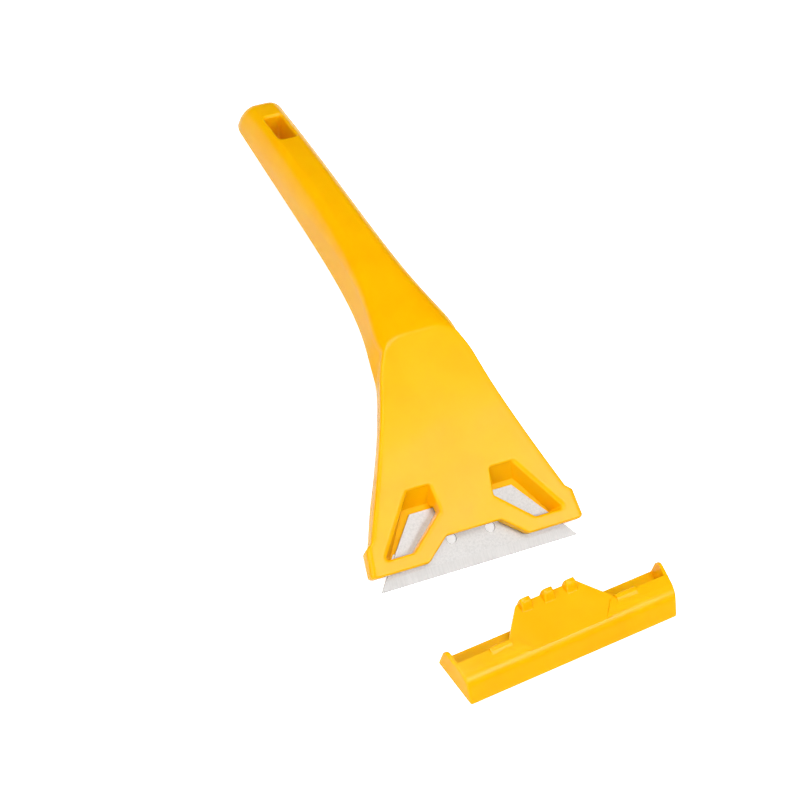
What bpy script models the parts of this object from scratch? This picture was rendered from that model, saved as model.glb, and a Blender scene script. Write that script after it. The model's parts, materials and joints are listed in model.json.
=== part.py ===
"""Hand scraper with a clamped trapezoid blade and a slip-on blade guard.

Three pieces: a moulded body (handle, head and blade holder in one), a steel blade that slides into
the slot of the head, and a moulded guard that slips over the edge and lies in front of it here.
Units are metres. In the tool's own frame X runs along the cutting edge, Y from the edge up the head,
and Z out of the windowed front, with the blade's middle plane at Z = 0. The tool then lies on the
ground as an arch: on the two ends of its edge and on the underside of the handle's tip.
"""
import math

import bpy
import bmesh
import numpy as np
from mathutils import Matrix, Vector

# Blade
BLADE_LENGTH = 0.062
BLADE_BACK_LENGTH = 0.0321
BLADE_DEPTH = 0.0188
BLADE_THICKNESS = 0.0006
BLADE_EDGE_THICKNESS = 0.0001
BLADE_GRIND_DEPTH = 0.003
BLADE_HOLE_DIAMETER = 0.0029
BLADE_HOLE_SPACING = 0.0122
BLADE_HOLE_HEIGHT = 0.0091

# Fits
RUNNING_GAP = 0.0003
GUARD_GAP = 0.0002
CUT_OVERRUN = 0.004

# Head
LIP_REACH = 0.0041
LIP_FRONT_HEIGHT = 0.0032
CREASE_DISTANCE = 0.0661
CREASE_HEIGHT = 0.0090
CREASE_FRONT_RADIUS = 0.003
CREASE_BACK_RADIUS = 0.026
CREASE_HALF_WIDTH = 0.0144
HEAD_FOOT_INSET = 0.0003
CREASE_FLAT_HALF_WIDTH = 0.0035
CREASE_SHOULDER_DEPTH = 0.0060
CREASE_CORNER_LOSS = 0.0011
CREASE_CORNER_LENGTH = 0.004
HEAD_FLARE_SOFTNESS = 0.017
HEAD_EDGE_RADIUS = 0.0014
HEAD_DRAFT_SHARE = 0.12
HEAD_DRAFT_BLEND_LENGTH = 0.012
HEAD_THICKNESS_AT_CREASE = 0.0074
FLOOR_THICKNESS = 0.0009
FLOOR_END_DISTANCE = 0.022
FLOOR_FRONT_DISTANCE = 0.0094
FLOOR_NOTCH_DISTANCE = 0.0122
FLOOR_NOTCH_HALF_WIDTH = 0.0100
FLOOR_LEDGE = 0.0015
LIP_BACK_DROP = 0.0002

# Ears at the lower corners
EAR_SHOULDER_DISTANCE = 0.0128
EAR_SHOULDER_RISE = 0.0015
EAR_OVERHANG = 0.0024
EAR_LEAN = 0.0009
EAR_CORNER = 0.0009
EAR_UNDERSIDE_DISTANCE = 0.0110

# Recess in the lip
RECESS_HALF_WIDTH = 0.0157
RECESS_TOP_HALF_WIDTH = 0.0086
RECESS_TOP_DISTANCE = 0.0100
RECESS_TOE_RADIUS = 0.0020
RECESS_TOP_RADIUS = 0.0009

# Windows, placed from the blade that shows through them
WINDOW_TOP_MARGIN = 0.0060
WINDOW_FOOT_TOP_MARGIN = 0.0017
WINDOW_KNEE_INSET = 0.0016
WINDOW_BOTTOM_DISTANCE = 0.0081
WINDOW_KNEE_HALF_WIDTH = 0.0085
WINDOW_TOP_INNER_STEP = 0.0010
WINDOW_TOP_OUTER_MARGIN = 0.0002
WINDOW_FOOT_OUTER_MARGIN = 0.00155
WINDOW_TOE_MARGIN = 0.0034
WINDOW_HEEL_MARGIN = 0.0035
WINDOW_FOOT_HEEL_MARGIN = 0.0009
WINDOW_RIM = 0.0008
WINDOW_OUTER_RIM = 0.0016
RIM_OVERRUN = 0.0005

# Handle
HANDLE_LENGTH = 0.1104
HANDLE_START_DEGREES = 28.6
HANDLE_TIP_DEGREES = 42.5
HANDLE_HALF_WIDTH = 0.0058
HANDLE_TIP_HALF_WIDTH = 0.0072
HANDLE_FLARE_LENGTH = 0.024
HANDLE_FLARE_SOFTNESS = 0.0015
HANDLE_FLAT_HALF_WIDTH = 0.0025
HANDLE_FLAT_BLEND_LENGTH = 0.0105
HANDLE_SHOULDER_DEPTH = 0.0078
HANDLE_SHOULDER_BLEND_LENGTH = 0.015
HANDLE_THICKNESS_AT_CREASE = 0.0080
HANDLE_THICKNESS = 0.0133
HANDLE_TIP_THICKNESS = 0.0088
HANDLE_BACK_RADIUS = 0.0010
HANDLE_TIP_RADIUS = 0.0032
HANDLE_TIP_BACK_RADIUS = 0.0013
HANDLE_TIP_LEAN = 0.0034
HANDLE_TIP_FRONT_RADIUS = 0.0016
BACK_BLEND_LENGTH = 0.020
SLOT_TIP_MARGIN = 0.0153
SLOT_LENGTH = 0.0120
SLOT_WIDTH = 0.0055
SLOT_CORNER_RADIUS = 0.0010
SLOT_WALL = 0.0022

# Coring of the back
WALL_THICKNESS = 0.0021
SKIN_THICKNESS = 0.0024
RIB_THICKNESS = 0.0016
HANDLE_CORE_START = 0.007
HANDLE_CORE_COUNT = 4
HEAD_CORE_START = 0.0285
HEAD_CORE_END = 0.0545
HEAD_CORE_COUNT = 2

# Guard
GUARD_NOSE_REACH = 0.0030
GUARD_DEPTH = 0.0155
GUARD_END_MARGIN = 0.0032
GUARD_END_FLARE = 0.0018
GUARD_WALL = 0.0008
GUARD_END_WALL = 0.0012
GUARD_FACE_DEGREES = 55
GUARD_SHOULDER_RADIUS = 0.0055
GUARD_PANEL_REACH = 0.0033
GUARD_HEEL_RADIUS = 0.0010
TONGUE_LENGTH = 0.0092
TONGUE_ROOT_HALF_WIDTH = 0.0178
TONGUE_END_HALF_WIDTH = 0.0099
TONGUE_THICKNESS = 0.0010
TONGUE_DROP = 0.0005
THUMB_RECESS_LENGTH = 0.0050
THUMB_RECESS_HALF_WIDTH = 0.0136
SHOULDER_PAD_LENGTH = 0.0068
SHOULDER_PAD_HEIGHT = 0.0006
SHOULDER_PAD_DEPTH = 0.0022
SHOULDER_PAD_BACK = 0.0004
NUB_COUNT = 3
NUB_SPACING = 0.0074
NUB_WIDTH = 0.0036
NUB_CREST_LENGTH = 0.0009
NUB_LENGTH = 0.0036
NUB_HEIGHT = 0.0023
NUB_OVERHANG = 0.0003

# Where the guard lies, from the middle of the cutting edge
GUARD_AHEAD = 0.0335
GUARD_ASIDE = 0.0122
GUARD_TURN_DEGREES = 5.4

# Facets
ARC_STEPS = 5
SHOULDER_STEPS = 7
HEEL_STEPS = 3
CREASE_STEPS = 5
HEAD_STEPS = 12
HANDLE_STEPS = 22
TIP_STEPS = 7
CIRCLE_STEPS = 24
NOSE_STEPS = 10
CREST_FULLNESS_SHARE = 0.5

# Sizes that follow from the ones above
START_ANGLE = math.radians(HANDLE_START_DEGREES)
TIP_ANGLE = math.radians(HANDLE_TIP_DEGREES)
FACE_SLOPE = (CREASE_HEIGHT - LIP_FRONT_HEIGHT) / (CREASE_DISTANCE - LIP_REACH)
FACE_ANGLE = math.atan(FACE_SLOPE)
BLADE_SEAT = BLADE_THICKNESS / 2 + RUNNING_GAP
EAR_HALF_SPAN = BLADE_LENGTH / 2 + EAR_OVERHANG
EAR_SHOULDER_HALF_SPAN = EAR_HALF_SPAN - EAR_LEAN
EAR_TOP_DISTANCE = EAR_SHOULDER_DISTANCE + EAR_SHOULDER_RISE
SLOT_CENTRE_DISTANCE = HANDLE_LENGTH - SLOT_TIP_MARGIN
CREASE_PARTING_SLOPE = math.tan(math.radians(HANDLE_START_DEGREES)) + FACE_SLOPE
GUARD_FACE_ANGLE = math.radians(GUARD_FACE_DEGREES)
GUARD_PANEL_REAR_DISTANCE = LIP_REACH + GUARD_PANEL_REACH
BACK_HEIGHT = -BLADE_SEAT - FLOOR_THICKNESS
CREASE = np.array([CREASE_DISTANCE, CREASE_HEIGHT])
HEAD_ALONG = np.array([math.cos(FACE_ANGLE), math.sin(FACE_ANGLE)])
HEAD_OUT = np.array([-math.sin(FACE_ANGLE), math.cos(FACE_ANGLE)])
HANDLE_ALONG = np.array([math.cos(START_ANGLE), -math.sin(START_ANGLE)])
HANDLE_OUT = np.array([math.sin(START_ANGLE), math.cos(START_ANGLE)])
HANDLE_ALONG_AT_TIP = np.array([math.cos(TIP_ANGLE), -math.sin(TIP_ANGLE)])


def clear_scene():
    """Remove every object, mesh and material that the scene holds."""
    for thing in list(bpy.data.objects):
        bpy.data.objects.remove(thing, do_unlink=True)
    for mesh in list(bpy.data.meshes):
        bpy.data.meshes.remove(mesh)
    for material in list(bpy.data.materials):
        bpy.data.materials.remove(material)


def make_material(name, colour, roughness, metallic):
    """Make a plain Principled material."""
    material = bpy.data.materials.new(name)
    material.use_nodes = True
    shader = material.node_tree.nodes["Principled BSDF"]
    shader.inputs["Base Color"].default_value = (*colour, 1.0)
    shader.inputs["Roughness"].default_value = roughness
    shader.inputs["Metallic"].default_value = metallic
    return material


def add_object(name, vertices, faces, material=None):
    """Make one mesh object from points and faces, with its faces turned outwards."""
    mesh = bpy.data.meshes.new(name)
    mesh.from_pydata([tuple(map(float, point)) for point in vertices], [], faces)
    shape = bmesh.new()
    shape.from_mesh(mesh)
    bmesh.ops.recalc_face_normals(shape, faces=shape.faces)
    shape.to_mesh(mesh)
    shape.free()
    thing = bpy.data.objects.new(name, mesh)
    bpy.context.scene.collection.objects.link(thing)
    if material:
        mesh.materials.append(material)
    return thing


def loft(name, rings, material=None):
    """Join rings of equally many points into one closed solid with flat ends."""
    count = len(rings[0])
    vertices = [point for ring in rings for point in ring]
    faces = [tuple(range(count)), tuple(range(len(vertices) - count, len(vertices)))]
    for low in range(0, len(vertices) - count, count):
        high = low + count
        for k in range(count):
            after = (k + 1) % count
            faces.append((low + k, low + after, high + after, high + k))
    return add_object(name, vertices, faces, material)


def prism(name, outline, low, high, material=None):
    """Stand a plan outline up between two heights."""
    return loft(name, [[(x, y, low) for x, y in outline], [(x, y, high) for x, y in outline]], material)


def cut(target, cutter):
    """Take a cutter out of a solid and leave the cutter as a hidden guide."""
    combine(target, cutter, "DIFFERENCE")


def join(target, added):
    """Melt a second solid into the first."""
    combine(target, added, "UNION")


def combine(target, other, operation):
    """Add one exact Boolean to the target and hide the other solid."""
    step = target.modifiers.new(other.name, "BOOLEAN")
    step.operation = operation
    step.solver = "EXACT"
    step.object = other
    other.hide_render = True
    other.display_type = "WIRE"


def arc(centre, radius, start_degrees, end_degrees, steps=ARC_STEPS):
    """Points on an arc, both ends included."""
    angles = np.radians(np.linspace(start_degrees, end_degrees, steps))
    return [(centre[0] + radius * math.cos(a), centre[1] + radius * math.sin(a)) for a in angles]


def fillet(before, corner, after, radius, steps=ARC_STEPS):
    """Round one corner of an outline: the arc that touches both of its sides."""
    corner = np.array(corner)
    to_before = np.array(before) - corner
    to_after = np.array(after) - corner
    to_before = to_before / np.linalg.norm(to_before)
    to_after = to_after / np.linalg.norm(to_after)
    half = math.acos(np.clip(to_before @ to_after, -1, 1)) / 2
    reach = radius / math.tan(half)
    centre = corner + (to_before + to_after) / np.linalg.norm(to_before + to_after) * radius / math.sin(half)
    first = corner + to_before * reach - centre
    last = corner + to_after * reach - centre
    sweep = math.pi - 2 * half
    points = []
    for share in np.linspace(0, 1, steps):
        blend = first * math.sin((1 - share) * sweep) + last * math.sin(share * sweep)
        points.append(tuple(centre + blend / math.sin(sweep)))
    return points


def head_half_width(distance):
    """Half width of the head: a straight flare to the blade's ends that eases into the crease."""
    foot = BLADE_LENGTH / 2 - HEAD_FOOT_INSET
    full = flare_rise(CREASE_DISTANCE - EAR_TOP_DISTANCE)
    return CREASE_HALF_WIDTH + (foot - CREASE_HALF_WIDTH) * flare_rise(CREASE_DISTANCE - distance) / full


def flare_rise(drop):
    """A line that starts level and bends softly into a straight slope."""
    return math.sqrt(drop ** 2 + HEAD_FLARE_SOFTNESS ** 2) - HEAD_FLARE_SOFTNESS


def handle_angle(along):
    """How far the handle's front line leans from the blade plane, growing evenly to the tip."""
    return START_ANGLE + (TIP_ANGLE - START_ANGLE) * along / HANDLE_LENGTH


def handle_front(along):
    """Front line of the handle in side view: an arc that starts at the crease."""
    angle = handle_angle(along)
    radius = HANDLE_LENGTH / (TIP_ANGLE - START_ANGLE)
    rise = np.array([math.sin(angle) - math.sin(START_ANGLE), math.cos(angle) - math.cos(START_ANGLE)])
    return CREASE + radius * rise


def handle_out(along):
    """Direction that leaves the handle's front at a right angle."""
    angle = handle_angle(along)
    return np.array([math.sin(angle), math.cos(angle)])


def tip_share(along):
    """Share of the tip's rounding that is reached: zero on the straight part and one at the end."""
    into_tip = max(along - (HANDLE_LENGTH - HANDLE_TIP_RADIUS), 0.0)
    return min(into_tip / HANDLE_TIP_RADIUS, 1.0)


def handle_half_width(along, tip_radius=HANDLE_TIP_RADIUS):
    """Half width of the handle: a flare that dies away from the crease, and a rounded tip."""
    grip = HANDLE_HALF_WIDTH + (HANDLE_TIP_HALF_WIDTH - HANDLE_HALF_WIDTH) * along / HANDLE_LENGTH
    reach = math.sqrt(along ** 2 + HANDLE_FLARE_SOFTNESS ** 2) - HANDLE_FLARE_SOFTNESS
    flare = (CREASE_HALF_WIDTH - HANDLE_HALF_WIDTH) * math.exp(-reach / HANDLE_FLARE_LENGTH)
    return grip + flare - tip_radius * (1 - math.sqrt(1 - tip_share(along) ** 2))


def handle_flat_half_width(along):
    """Half width of the flat along the handle's front, between its rounded shoulders."""
    fade = math.exp(-along / HANDLE_FLAT_BLEND_LENGTH)
    flat = HANDLE_FLAT_HALF_WIDTH + (CREASE_FLAT_HALF_WIDTH - HANDLE_FLAT_HALF_WIDTH) * fade
    half = handle_half_width(along)
    return flat * half / (half + HANDLE_TIP_RADIUS * tip_share(along))


def handle_shoulder_depth(along):
    """Depth over which the handle's shoulders turn from the front flat into the sides."""
    fade = math.exp(-along / HANDLE_SHOULDER_BLEND_LENGTH)
    depth = HANDLE_SHOULDER_DEPTH + (CREASE_SHOULDER_DEPTH - HANDLE_SHOULDER_DEPTH) * fade
    return min(depth, handle_thickness(along) - 2 * HANDLE_BACK_RADIUS)


def handle_thickness(along):
    """Thickness of the handle: even over the grip and thinner towards the tip."""
    share = min(along / HANDLE_LENGTH, 1.0)
    middle = 4 * share * (1 - share)
    straight = HANDLE_THICKNESS_AT_CREASE * (1 - share) + HANDLE_TIP_THICKNESS * share
    crown = HANDLE_THICKNESS - (HANDLE_THICKNESS_AT_CREASE + HANDLE_TIP_THICKNESS) / 2
    return straight + crown * middle


def back_corner():
    """The point where the back of the head meets the back of the handle, in side view."""
    head_back = CREASE - HEAD_OUT * HEAD_THICKNESS_AT_CREASE
    handle_back = CREASE - HANDLE_OUT * HANDLE_THICKNESS_AT_CREASE
    sides = np.array([HEAD_ALONG, -HANDLE_ALONG]).T
    run = np.linalg.solve(sides, handle_back - head_back)
    return head_back + HEAD_ALONG * run[0]


def rounded_bend(corner, before, after, radius, steps):
    """Points of an arc that rounds a bend of the side view, from the first side to the second."""
    return [np.array(p) for p in fillet(corner - before, corner, corner + after, radius, steps)]


def side_stations():
    """Stations from lip to tip: front and back point, half widths, flat and shoulder depth."""
    corner = back_corner()
    front_bend = rounded_bend(CREASE, HEAD_ALONG, HANDLE_ALONG, CREASE_FRONT_RADIUS, CREASE_STEPS)
    back_slope = corner - np.array([FLOOR_END_DISTANCE, BACK_HEIGHT])
    back_slope = back_slope / np.linalg.norm(back_slope)
    back_bend = rounded_bend(corner, back_slope, HANDLE_ALONG, CREASE_BACK_RADIUS, CREASE_STEPS)
    last_front = front_bend[0][0]
    stations = []
    for distance, half_width in head_widths(last_front):
        front = np.array([distance, face_height(distance)])
        share = (distance - LIP_REACH) / (last_front - LIP_REACH)
        back = head_back_point(LIP_REACH + share * (back_bend[0][0] - LIP_REACH), back_bend[0])
        margin, shoulder = crown_left(distance)
        base = half_width + head_draft(distance) * (np.linalg.norm(front - back) - shoulder)
        front_half = half_width - corner_loss(CREASE_DISTANCE - distance)
        stations.append((front, back, front_half, front_half - margin, base, shoulder))
    handle_start = np.linalg.norm(front_bend[-1] - CREASE)
    back_lag = (back_bend[-1] - CREASE) @ HANDLE_ALONG - handle_start
    bases = np.linspace(CREASE_HALF_WIDTH, handle_half_width(handle_start + back_lag), CREASE_STEPS)
    for front, back, base in zip(front_bend[1:-1], back_bend[1:-1], bases[1:-1]):
        front_half = CREASE_HALF_WIDTH - corner_loss(0.0)
        stations.append((front, back, front_half, CREASE_FLAT_HALF_WIDTH, base, CREASE_SHOULDER_DEPTH))
    straight_end = HANDLE_LENGTH - HANDLE_TIP_RADIUS
    tip_turns = np.sin(np.linspace(0, math.pi / 2, TIP_STEPS + 1)[1:])
    runs = list(np.linspace(handle_start, straight_end, HANDLE_STEPS))
    runs += [straight_end + HANDLE_TIP_RADIUS * turn for turn in tip_turns]
    for along in runs:
        drop = HANDLE_TIP_FRONT_RADIUS * (1 - math.sqrt(1 - tip_share(along) ** 2))
        front = handle_front(along) - handle_out(along) * drop
        behind = along + back_lag * max(1 - (along - handle_start) / BACK_BLEND_LENGTH, 0.0)
        lean = HANDLE_ALONG_AT_TIP * HANDLE_TIP_LEAN * tip_share(along)
        back = handle_front(behind) - handle_out(behind) * handle_thickness(behind) + lean
        front_half = handle_half_width(along) - corner_loss(along)
        flat = handle_flat_half_width(along)
        base = handle_half_width(behind, HANDLE_TIP_BACK_RADIUS)
        stations.append((front, back, front_half, flat, base, handle_shoulder_depth(along)))
    return stations


def corner_loss(reach):
    """How far the front's edges draw in at the crease, dying away to both sides of it."""
    return CREASE_CORNER_LOSS * math.exp(-reach / CREASE_CORNER_LENGTH)


def crown_left(distance):
    """What the head's flat face leaves of the handle's crown below the crease: its width and its depth."""
    sunk = min((CREASE_DISTANCE - distance) * CREASE_PARTING_SLOPE / CREASE_SHOULDER_DEPTH, 1.0)
    width = (CREASE_HALF_WIDTH - CREASE_FLAT_HALF_WIDTH) * (1 - math.sqrt(2 * sunk - sunk ** 2))
    return max(width, HEAD_EDGE_RADIUS), max(CREASE_SHOULDER_DEPTH * (1 - sunk), HEAD_EDGE_RADIUS)


def head_draft(distance):
    """How much the head's sides lean out towards the back: none at the crease and at the ears."""
    from_ends = min(CREASE_DISTANCE - distance, distance - EAR_TOP_DISTANCE)
    return HEAD_DRAFT_SHARE * min(max(from_ends / HEAD_DRAFT_BLEND_LENGTH, 0.0), 1.0)


def head_widths(last_front):
    """Pairs of distance and half width up the head: the ears first, then the flare."""
    shoulder_share = (EAR_UNDERSIDE_DISTANCE - LIP_REACH) / (EAR_SHOULDER_DISTANCE - LIP_REACH)
    underside_span = EAR_HALF_SPAN + (EAR_SHOULDER_HALF_SPAN - EAR_HALF_SPAN) * shoulder_share
    widths = [(LIP_REACH, EAR_HALF_SPAN - EAR_CORNER),
              (LIP_REACH + EAR_CORNER, EAR_HALF_SPAN),
              (EAR_UNDERSIDE_DISTANCE, underside_span),
              (EAR_SHOULDER_DISTANCE, EAR_SHOULDER_HALF_SPAN)]
    widths += [(d, head_half_width(d)) for d in np.linspace(EAR_TOP_DISTANCE, last_front, HEAD_STEPS)]
    return widths


def head_back_point(distance, last_back):
    """Back of the head in side view: chamfered under the lip, flat under the blade, then rising."""
    lip_back = -BLADE_SEAT - LIP_BACK_DROP
    heights = [lip_back, BACK_HEIGHT, BACK_HEIGHT, last_back[1]]
    places = [LIP_REACH, EAR_UNDERSIDE_DISTANCE, FLOOR_END_DISTANCE, last_back[0]]
    return np.array([distance, float(np.interp(distance, places, heights))])


def section_ring(front, back, half_width, flat, base, shoulder_depth):
    """One cross-section: a front flat, elliptic shoulders, straight sides and a slightly rounded back."""
    down = back - front
    depth = np.linalg.norm(down)
    down = down / depth
    heel = HANDLE_BACK_RADIUS
    shoulder = min(shoulder_depth, depth - heel - HANDLE_TIP_FRONT_RADIUS / 2)
    turns = np.linspace(-math.pi / 2, 0, SHOULDER_STEPS)
    right = [(flat + (half_width - flat) * math.cos(a), shoulder + shoulder * math.sin(a)) for a in turns]
    right += arc((base - heel, depth - heel), heel, 0, 90, HEEL_STEPS)
    outline = right + [(-x, d) for x, d in reversed(right)]
    return [(x, *(front + down * d)) for x, d in outline]


def make_body(material):
    """The moulded body: one loft from lip to tip, then its slot, recess, windows and coring."""
    stations = side_stations()
    rings = [section_ring(*station) for station in stations]
    body = loft("scraper_body", rings, material)
    cut(body, blade_slot())
    cut(body, floor_opening())
    cut(body, lip_recess())
    for side in (-1, 1):
        cut(body, window(side))
    cut(body, hanging_slot())
    for pocket in handle_cores() + head_cores():
        cut(body, pocket)
    return body


def blade_end_slope():
    """How much the blade's half length falls for each metre up from the edge."""
    return (BLADE_LENGTH - BLADE_BACK_LENGTH) / 2 / BLADE_DEPTH


def blade_slot():
    """The slot that the blade slides into: the blade's own plan, a running gap larger."""
    slope = blade_end_slope()
    side_gap = RUNNING_GAP * math.hypot(1, slope)
    front = BLADE_LENGTH / 2 + side_gap + CUT_OVERRUN * slope
    back = BLADE_LENGTH / 2 + side_gap - (BLADE_DEPTH + RUNNING_GAP) * slope
    top = BLADE_DEPTH + RUNNING_GAP
    outline = [(-front, -CUT_OVERRUN), (front, -CUT_OVERRUN), (back, top), (-back, top)]
    return prism("cut_blade_slot", outline, -BLADE_SEAT, BLADE_SEAT)


def floor_opening():
    """The open underside below the floor's front edge, with the notch behind the blade's holes."""
    slope = blade_end_slope()
    side_gap = RUNNING_GAP * math.hypot(1, slope)
    front = BLADE_LENGTH / 2 + side_gap + CUT_OVERRUN * slope
    back = BLADE_LENGTH / 2 + side_gap - FLOOR_FRONT_DISTANCE * slope
    right = [(front, -CUT_OVERRUN), (back, FLOOR_FRONT_DISTANCE),
             (FLOOR_NOTCH_HALF_WIDTH, FLOOR_FRONT_DISTANCE), (FLOOR_NOTCH_HALF_WIDTH, FLOOR_NOTCH_DISTANCE)]
    outline = right + [(-x, y) for x, y in reversed(right)]
    return prism("cut_floor_opening", outline, BACK_HEIGHT - CUT_OVERRUN, 0)


def lip_recess():
    """The recess in the middle of the lip, with rounded toes and rounded upper corners."""
    toe = (RECESS_HALF_WIDTH, LIP_REACH)
    top = (RECESS_TOP_HALF_WIDTH, RECESS_TOP_DISTANCE)
    outside = (RECESS_HALF_WIDTH + CUT_OVERRUN, LIP_REACH)
    right = [(RECESS_HALF_WIDTH + CUT_OVERRUN, LIP_REACH - CUT_OVERRUN)]
    right += fillet(outside, toe, top, RECESS_TOE_RADIUS)
    right += fillet(toe, top, (-RECESS_TOP_HALF_WIDTH, RECESS_TOP_DISTANCE), RECESS_TOP_RADIUS)
    outline = right + [(-x, y) for x, y in reversed(right)]
    return prism("cut_lip_recess", outline, 0, CREASE_HEIGHT + CUT_OVERRUN)


def window(side):
    """One five-sided window: bevelled rim, front outline, then the sloping walls to the foot."""
    blade_end = BLADE_LENGTH / 2 - WINDOW_BOTTOM_DISTANCE * blade_end_slope()
    back_half = BLADE_BACK_LENGTH / 2
    top = BLADE_DEPTH + WINDOW_TOP_MARGIN
    foot_top = BLADE_DEPTH + WINDOW_FOOT_TOP_MARGIN
    knee = (WINDOW_KNEE_HALF_WIDTH, BLADE_DEPTH - WINDOW_KNEE_INSET)
    toe = (RECESS_HALF_WIDTH + WINDOW_TOE_MARGIN, WINDOW_BOTTOM_DISTANCE)
    inner = WINDOW_KNEE_HALF_WIDTH + WINDOW_TOP_INNER_STEP
    heel = (blade_end + WINDOW_HEEL_MARGIN, WINDOW_BOTTOM_DISTANCE)
    front = [(back_half + WINDOW_TOP_OUTER_MARGIN, top), (inner, top), knee, toe, heel]
    foot = [(back_half + WINDOW_FOOT_OUTER_MARGIN, foot_top), (inner, foot_top), knee, toe,
            (blade_end + WINDOW_FOOT_HEEL_MARGIN, WINDOW_BOTTOM_DISTANCE)]
    over_share = 1 + RIM_OVERRUN / WINDOW_RIM
    rims = [WINDOW_RIM * over_share] * 4 + [WINDOW_OUTER_RIM * over_share]
    rings = [[(side * x, y, face_height(y) + RIM_OVERRUN) for x, y in widened(front, rims)],
             [(side * x, y, face_height(y) - WINDOW_RIM) for x, y in front],
             [(side * x, y, -BLADE_SEAT) for x, y in foot]]
    return loft("cut_window_right" if side > 0 else "cut_window_left", rings)


def face_height(distance):
    """Height of the head's front face above the blade plane."""
    return LIP_FRONT_HEIGHT + (distance - LIP_REACH) * FACE_SLOPE


def widened(outline, margins):
    """Move each side of an outline out by its margin, side k running from point k to the next."""
    points = [np.array(p) for p in outline]
    middle = sum(points) / len(points)
    lines = []
    for k, start in enumerate(points):
        along = points[(k + 1) % len(points)] - start
        out = np.array([along[1], -along[0]]) / np.linalg.norm(along)
        if out @ (start - middle) < 0:
            out = -out
        lines.append((start + out * margins[k], along))
    moved = []
    for k in range(len(points)):
        (p, u), (q, v) = lines[k - 1], lines[k]
        share = np.linalg.solve(np.array([u, -v]).T, q - p)[0]
        moved.append(tuple(p + u * share))
    return moved


def handle_point(along, aside, depth):
    """A point of the handle: distance from the crease, offset along X, depth below the front line."""
    side_view = handle_front(along) - handle_out(along) * depth
    return (aside, float(side_view[0]), float(side_view[1]))


def slot_point(offset, aside, depth):
    """A point of the hanging slot, in the straight directions that the handle has at its centre."""
    angle = handle_angle(SLOT_CENTRE_DISTANCE)
    along = np.array([math.cos(angle), -math.sin(angle)])
    out = handle_out(SLOT_CENTRE_DISTANCE)
    side_view = handle_front(SLOT_CENTRE_DISTANCE) + along * offset - out * depth
    return (aside, float(side_view[0]), float(side_view[1]))


def rounded_plan(length, width, radius):
    """A rectangle with rounded corners, centred on zero, as pairs of (along, aside)."""
    a = length / 2 - radius
    b = width / 2 - radius
    return (arc((a, b), radius, 0, 90) + arc((-a, b), radius, 90, 180)
            + arc((-a, -b), radius, 180, 270) + arc((a, -b), radius, 270, 360))


def hanging_slot():
    """The slot through the tip, square to the handle's front face."""
    plan = rounded_plan(SLOT_LENGTH, SLOT_WIDTH, SLOT_CORNER_RADIUS)
    low = HANDLE_THICKNESS + CUT_OVERRUN
    rings = [[slot_point(a, x, depth) for a, x in plan] for depth in (-CUT_OVERRUN, low)]
    return loft("cut_hanging_slot", rings)


def handle_cores():
    """The pockets in the back of the handle, with cross ribs left between them."""
    core_end = SLOT_CENTRE_DISTANCE - SLOT_LENGTH / 2 - SLOT_WALL
    span = (core_end - HANDLE_CORE_START + RIB_THICKNESS) / HANDLE_CORE_COUNT
    pockets = []
    for k in range(HANDLE_CORE_COUNT):
        start = HANDLE_CORE_START + k * span
        end = start + span - RIB_THICKNESS
        rings = []
        for along in np.linspace(start, end, ARC_STEPS):
            half = handle_half_width(along) - WALL_THICKNESS
            crown = min(handle_flat_half_width(along), half)
            levels = [(crown, SKIN_THICKNESS), (half, handle_shoulder_depth(along)),
                      (half, handle_thickness(along) + CUT_OVERRUN)]
            outline = levels + [(-x, depth) for x, depth in reversed(levels)]
            rings.append([handle_point(along, x, depth) for x, depth in outline])
        pockets.append(loft(f"cut_handle_core_{k + 1}", rings))
    return pockets


def head_cores():
    """The pockets in the back of the head, side by side with a rib between them."""
    pockets = []
    for k in range(HEAD_CORE_COUNT):
        rings = []
        for distance in np.linspace(HEAD_CORE_START, HEAD_CORE_END, ARC_STEPS):
            half = head_half_width(distance) - WALL_THICKNESS
            step = (2 * half + RIB_THICKNESS) / HEAD_CORE_COUNT
            left = -half + k * step
            right = left + step - RIB_THICKNESS
            top = face_height(distance) - SKIN_THICKNESS
            low = BACK_HEIGHT - CUT_OVERRUN
            corners = [(left, top), (right, top), (right, low), (left, low)]
            rings.append([(x, distance, z) for x, z in corners])
        pockets.append(loft(f"cut_head_core_{k + 1}", rings))
    return pockets


def make_blade(material):
    """The blade: a trapezoid plate with a ground edge and two round holes."""
    slope = blade_end_slope()
    rings = []
    for distance, thickness in ((0, BLADE_EDGE_THICKNESS), (BLADE_GRIND_DEPTH, BLADE_THICKNESS),
                                (BLADE_DEPTH, BLADE_THICKNESS)):
        half = BLADE_LENGTH / 2 - distance * slope
        corners = [(-half, -thickness), (half, -thickness), (half, thickness), (-half, thickness)]
        rings.append([(x, distance, z / 2) for x, z in corners])
    blade = loft("trapezoid_blade", rings, material)
    for side in (-1, 1):
        centre = (side * BLADE_HOLE_SPACING / 2, BLADE_HOLE_HEIGHT)
        ring = arc(centre, BLADE_HOLE_DIAMETER / 2, 0, 360, CIRCLE_STEPS + 1)[:-1]
        name = "cut_blade_hole_right" if side > 0 else "cut_blade_hole_left"
        cut(blade, prism(name, ring, -CUT_OVERRUN, CUT_OVERRUN))
    return blade


def guard_levels():
    """Heights of the guard in its fitted place: underside, pocket floor, pocket roof, top."""
    pocket_floor = BACK_HEIGHT - GUARD_GAP
    pocket_roof = face_height(GUARD_PANEL_REAR_DISTANCE) + GUARD_GAP
    return pocket_floor - GUARD_WALL, pocket_floor, pocket_roof, pocket_roof + GUARD_WALL


def guard_half_length(distance):
    """Half length of the guard, which widens from its nose to its heel."""
    share = (distance + GUARD_NOSE_REACH) / GUARD_DEPTH
    return BLADE_LENGTH / 2 + GUARD_END_MARGIN + GUARD_END_FLARE * share


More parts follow.
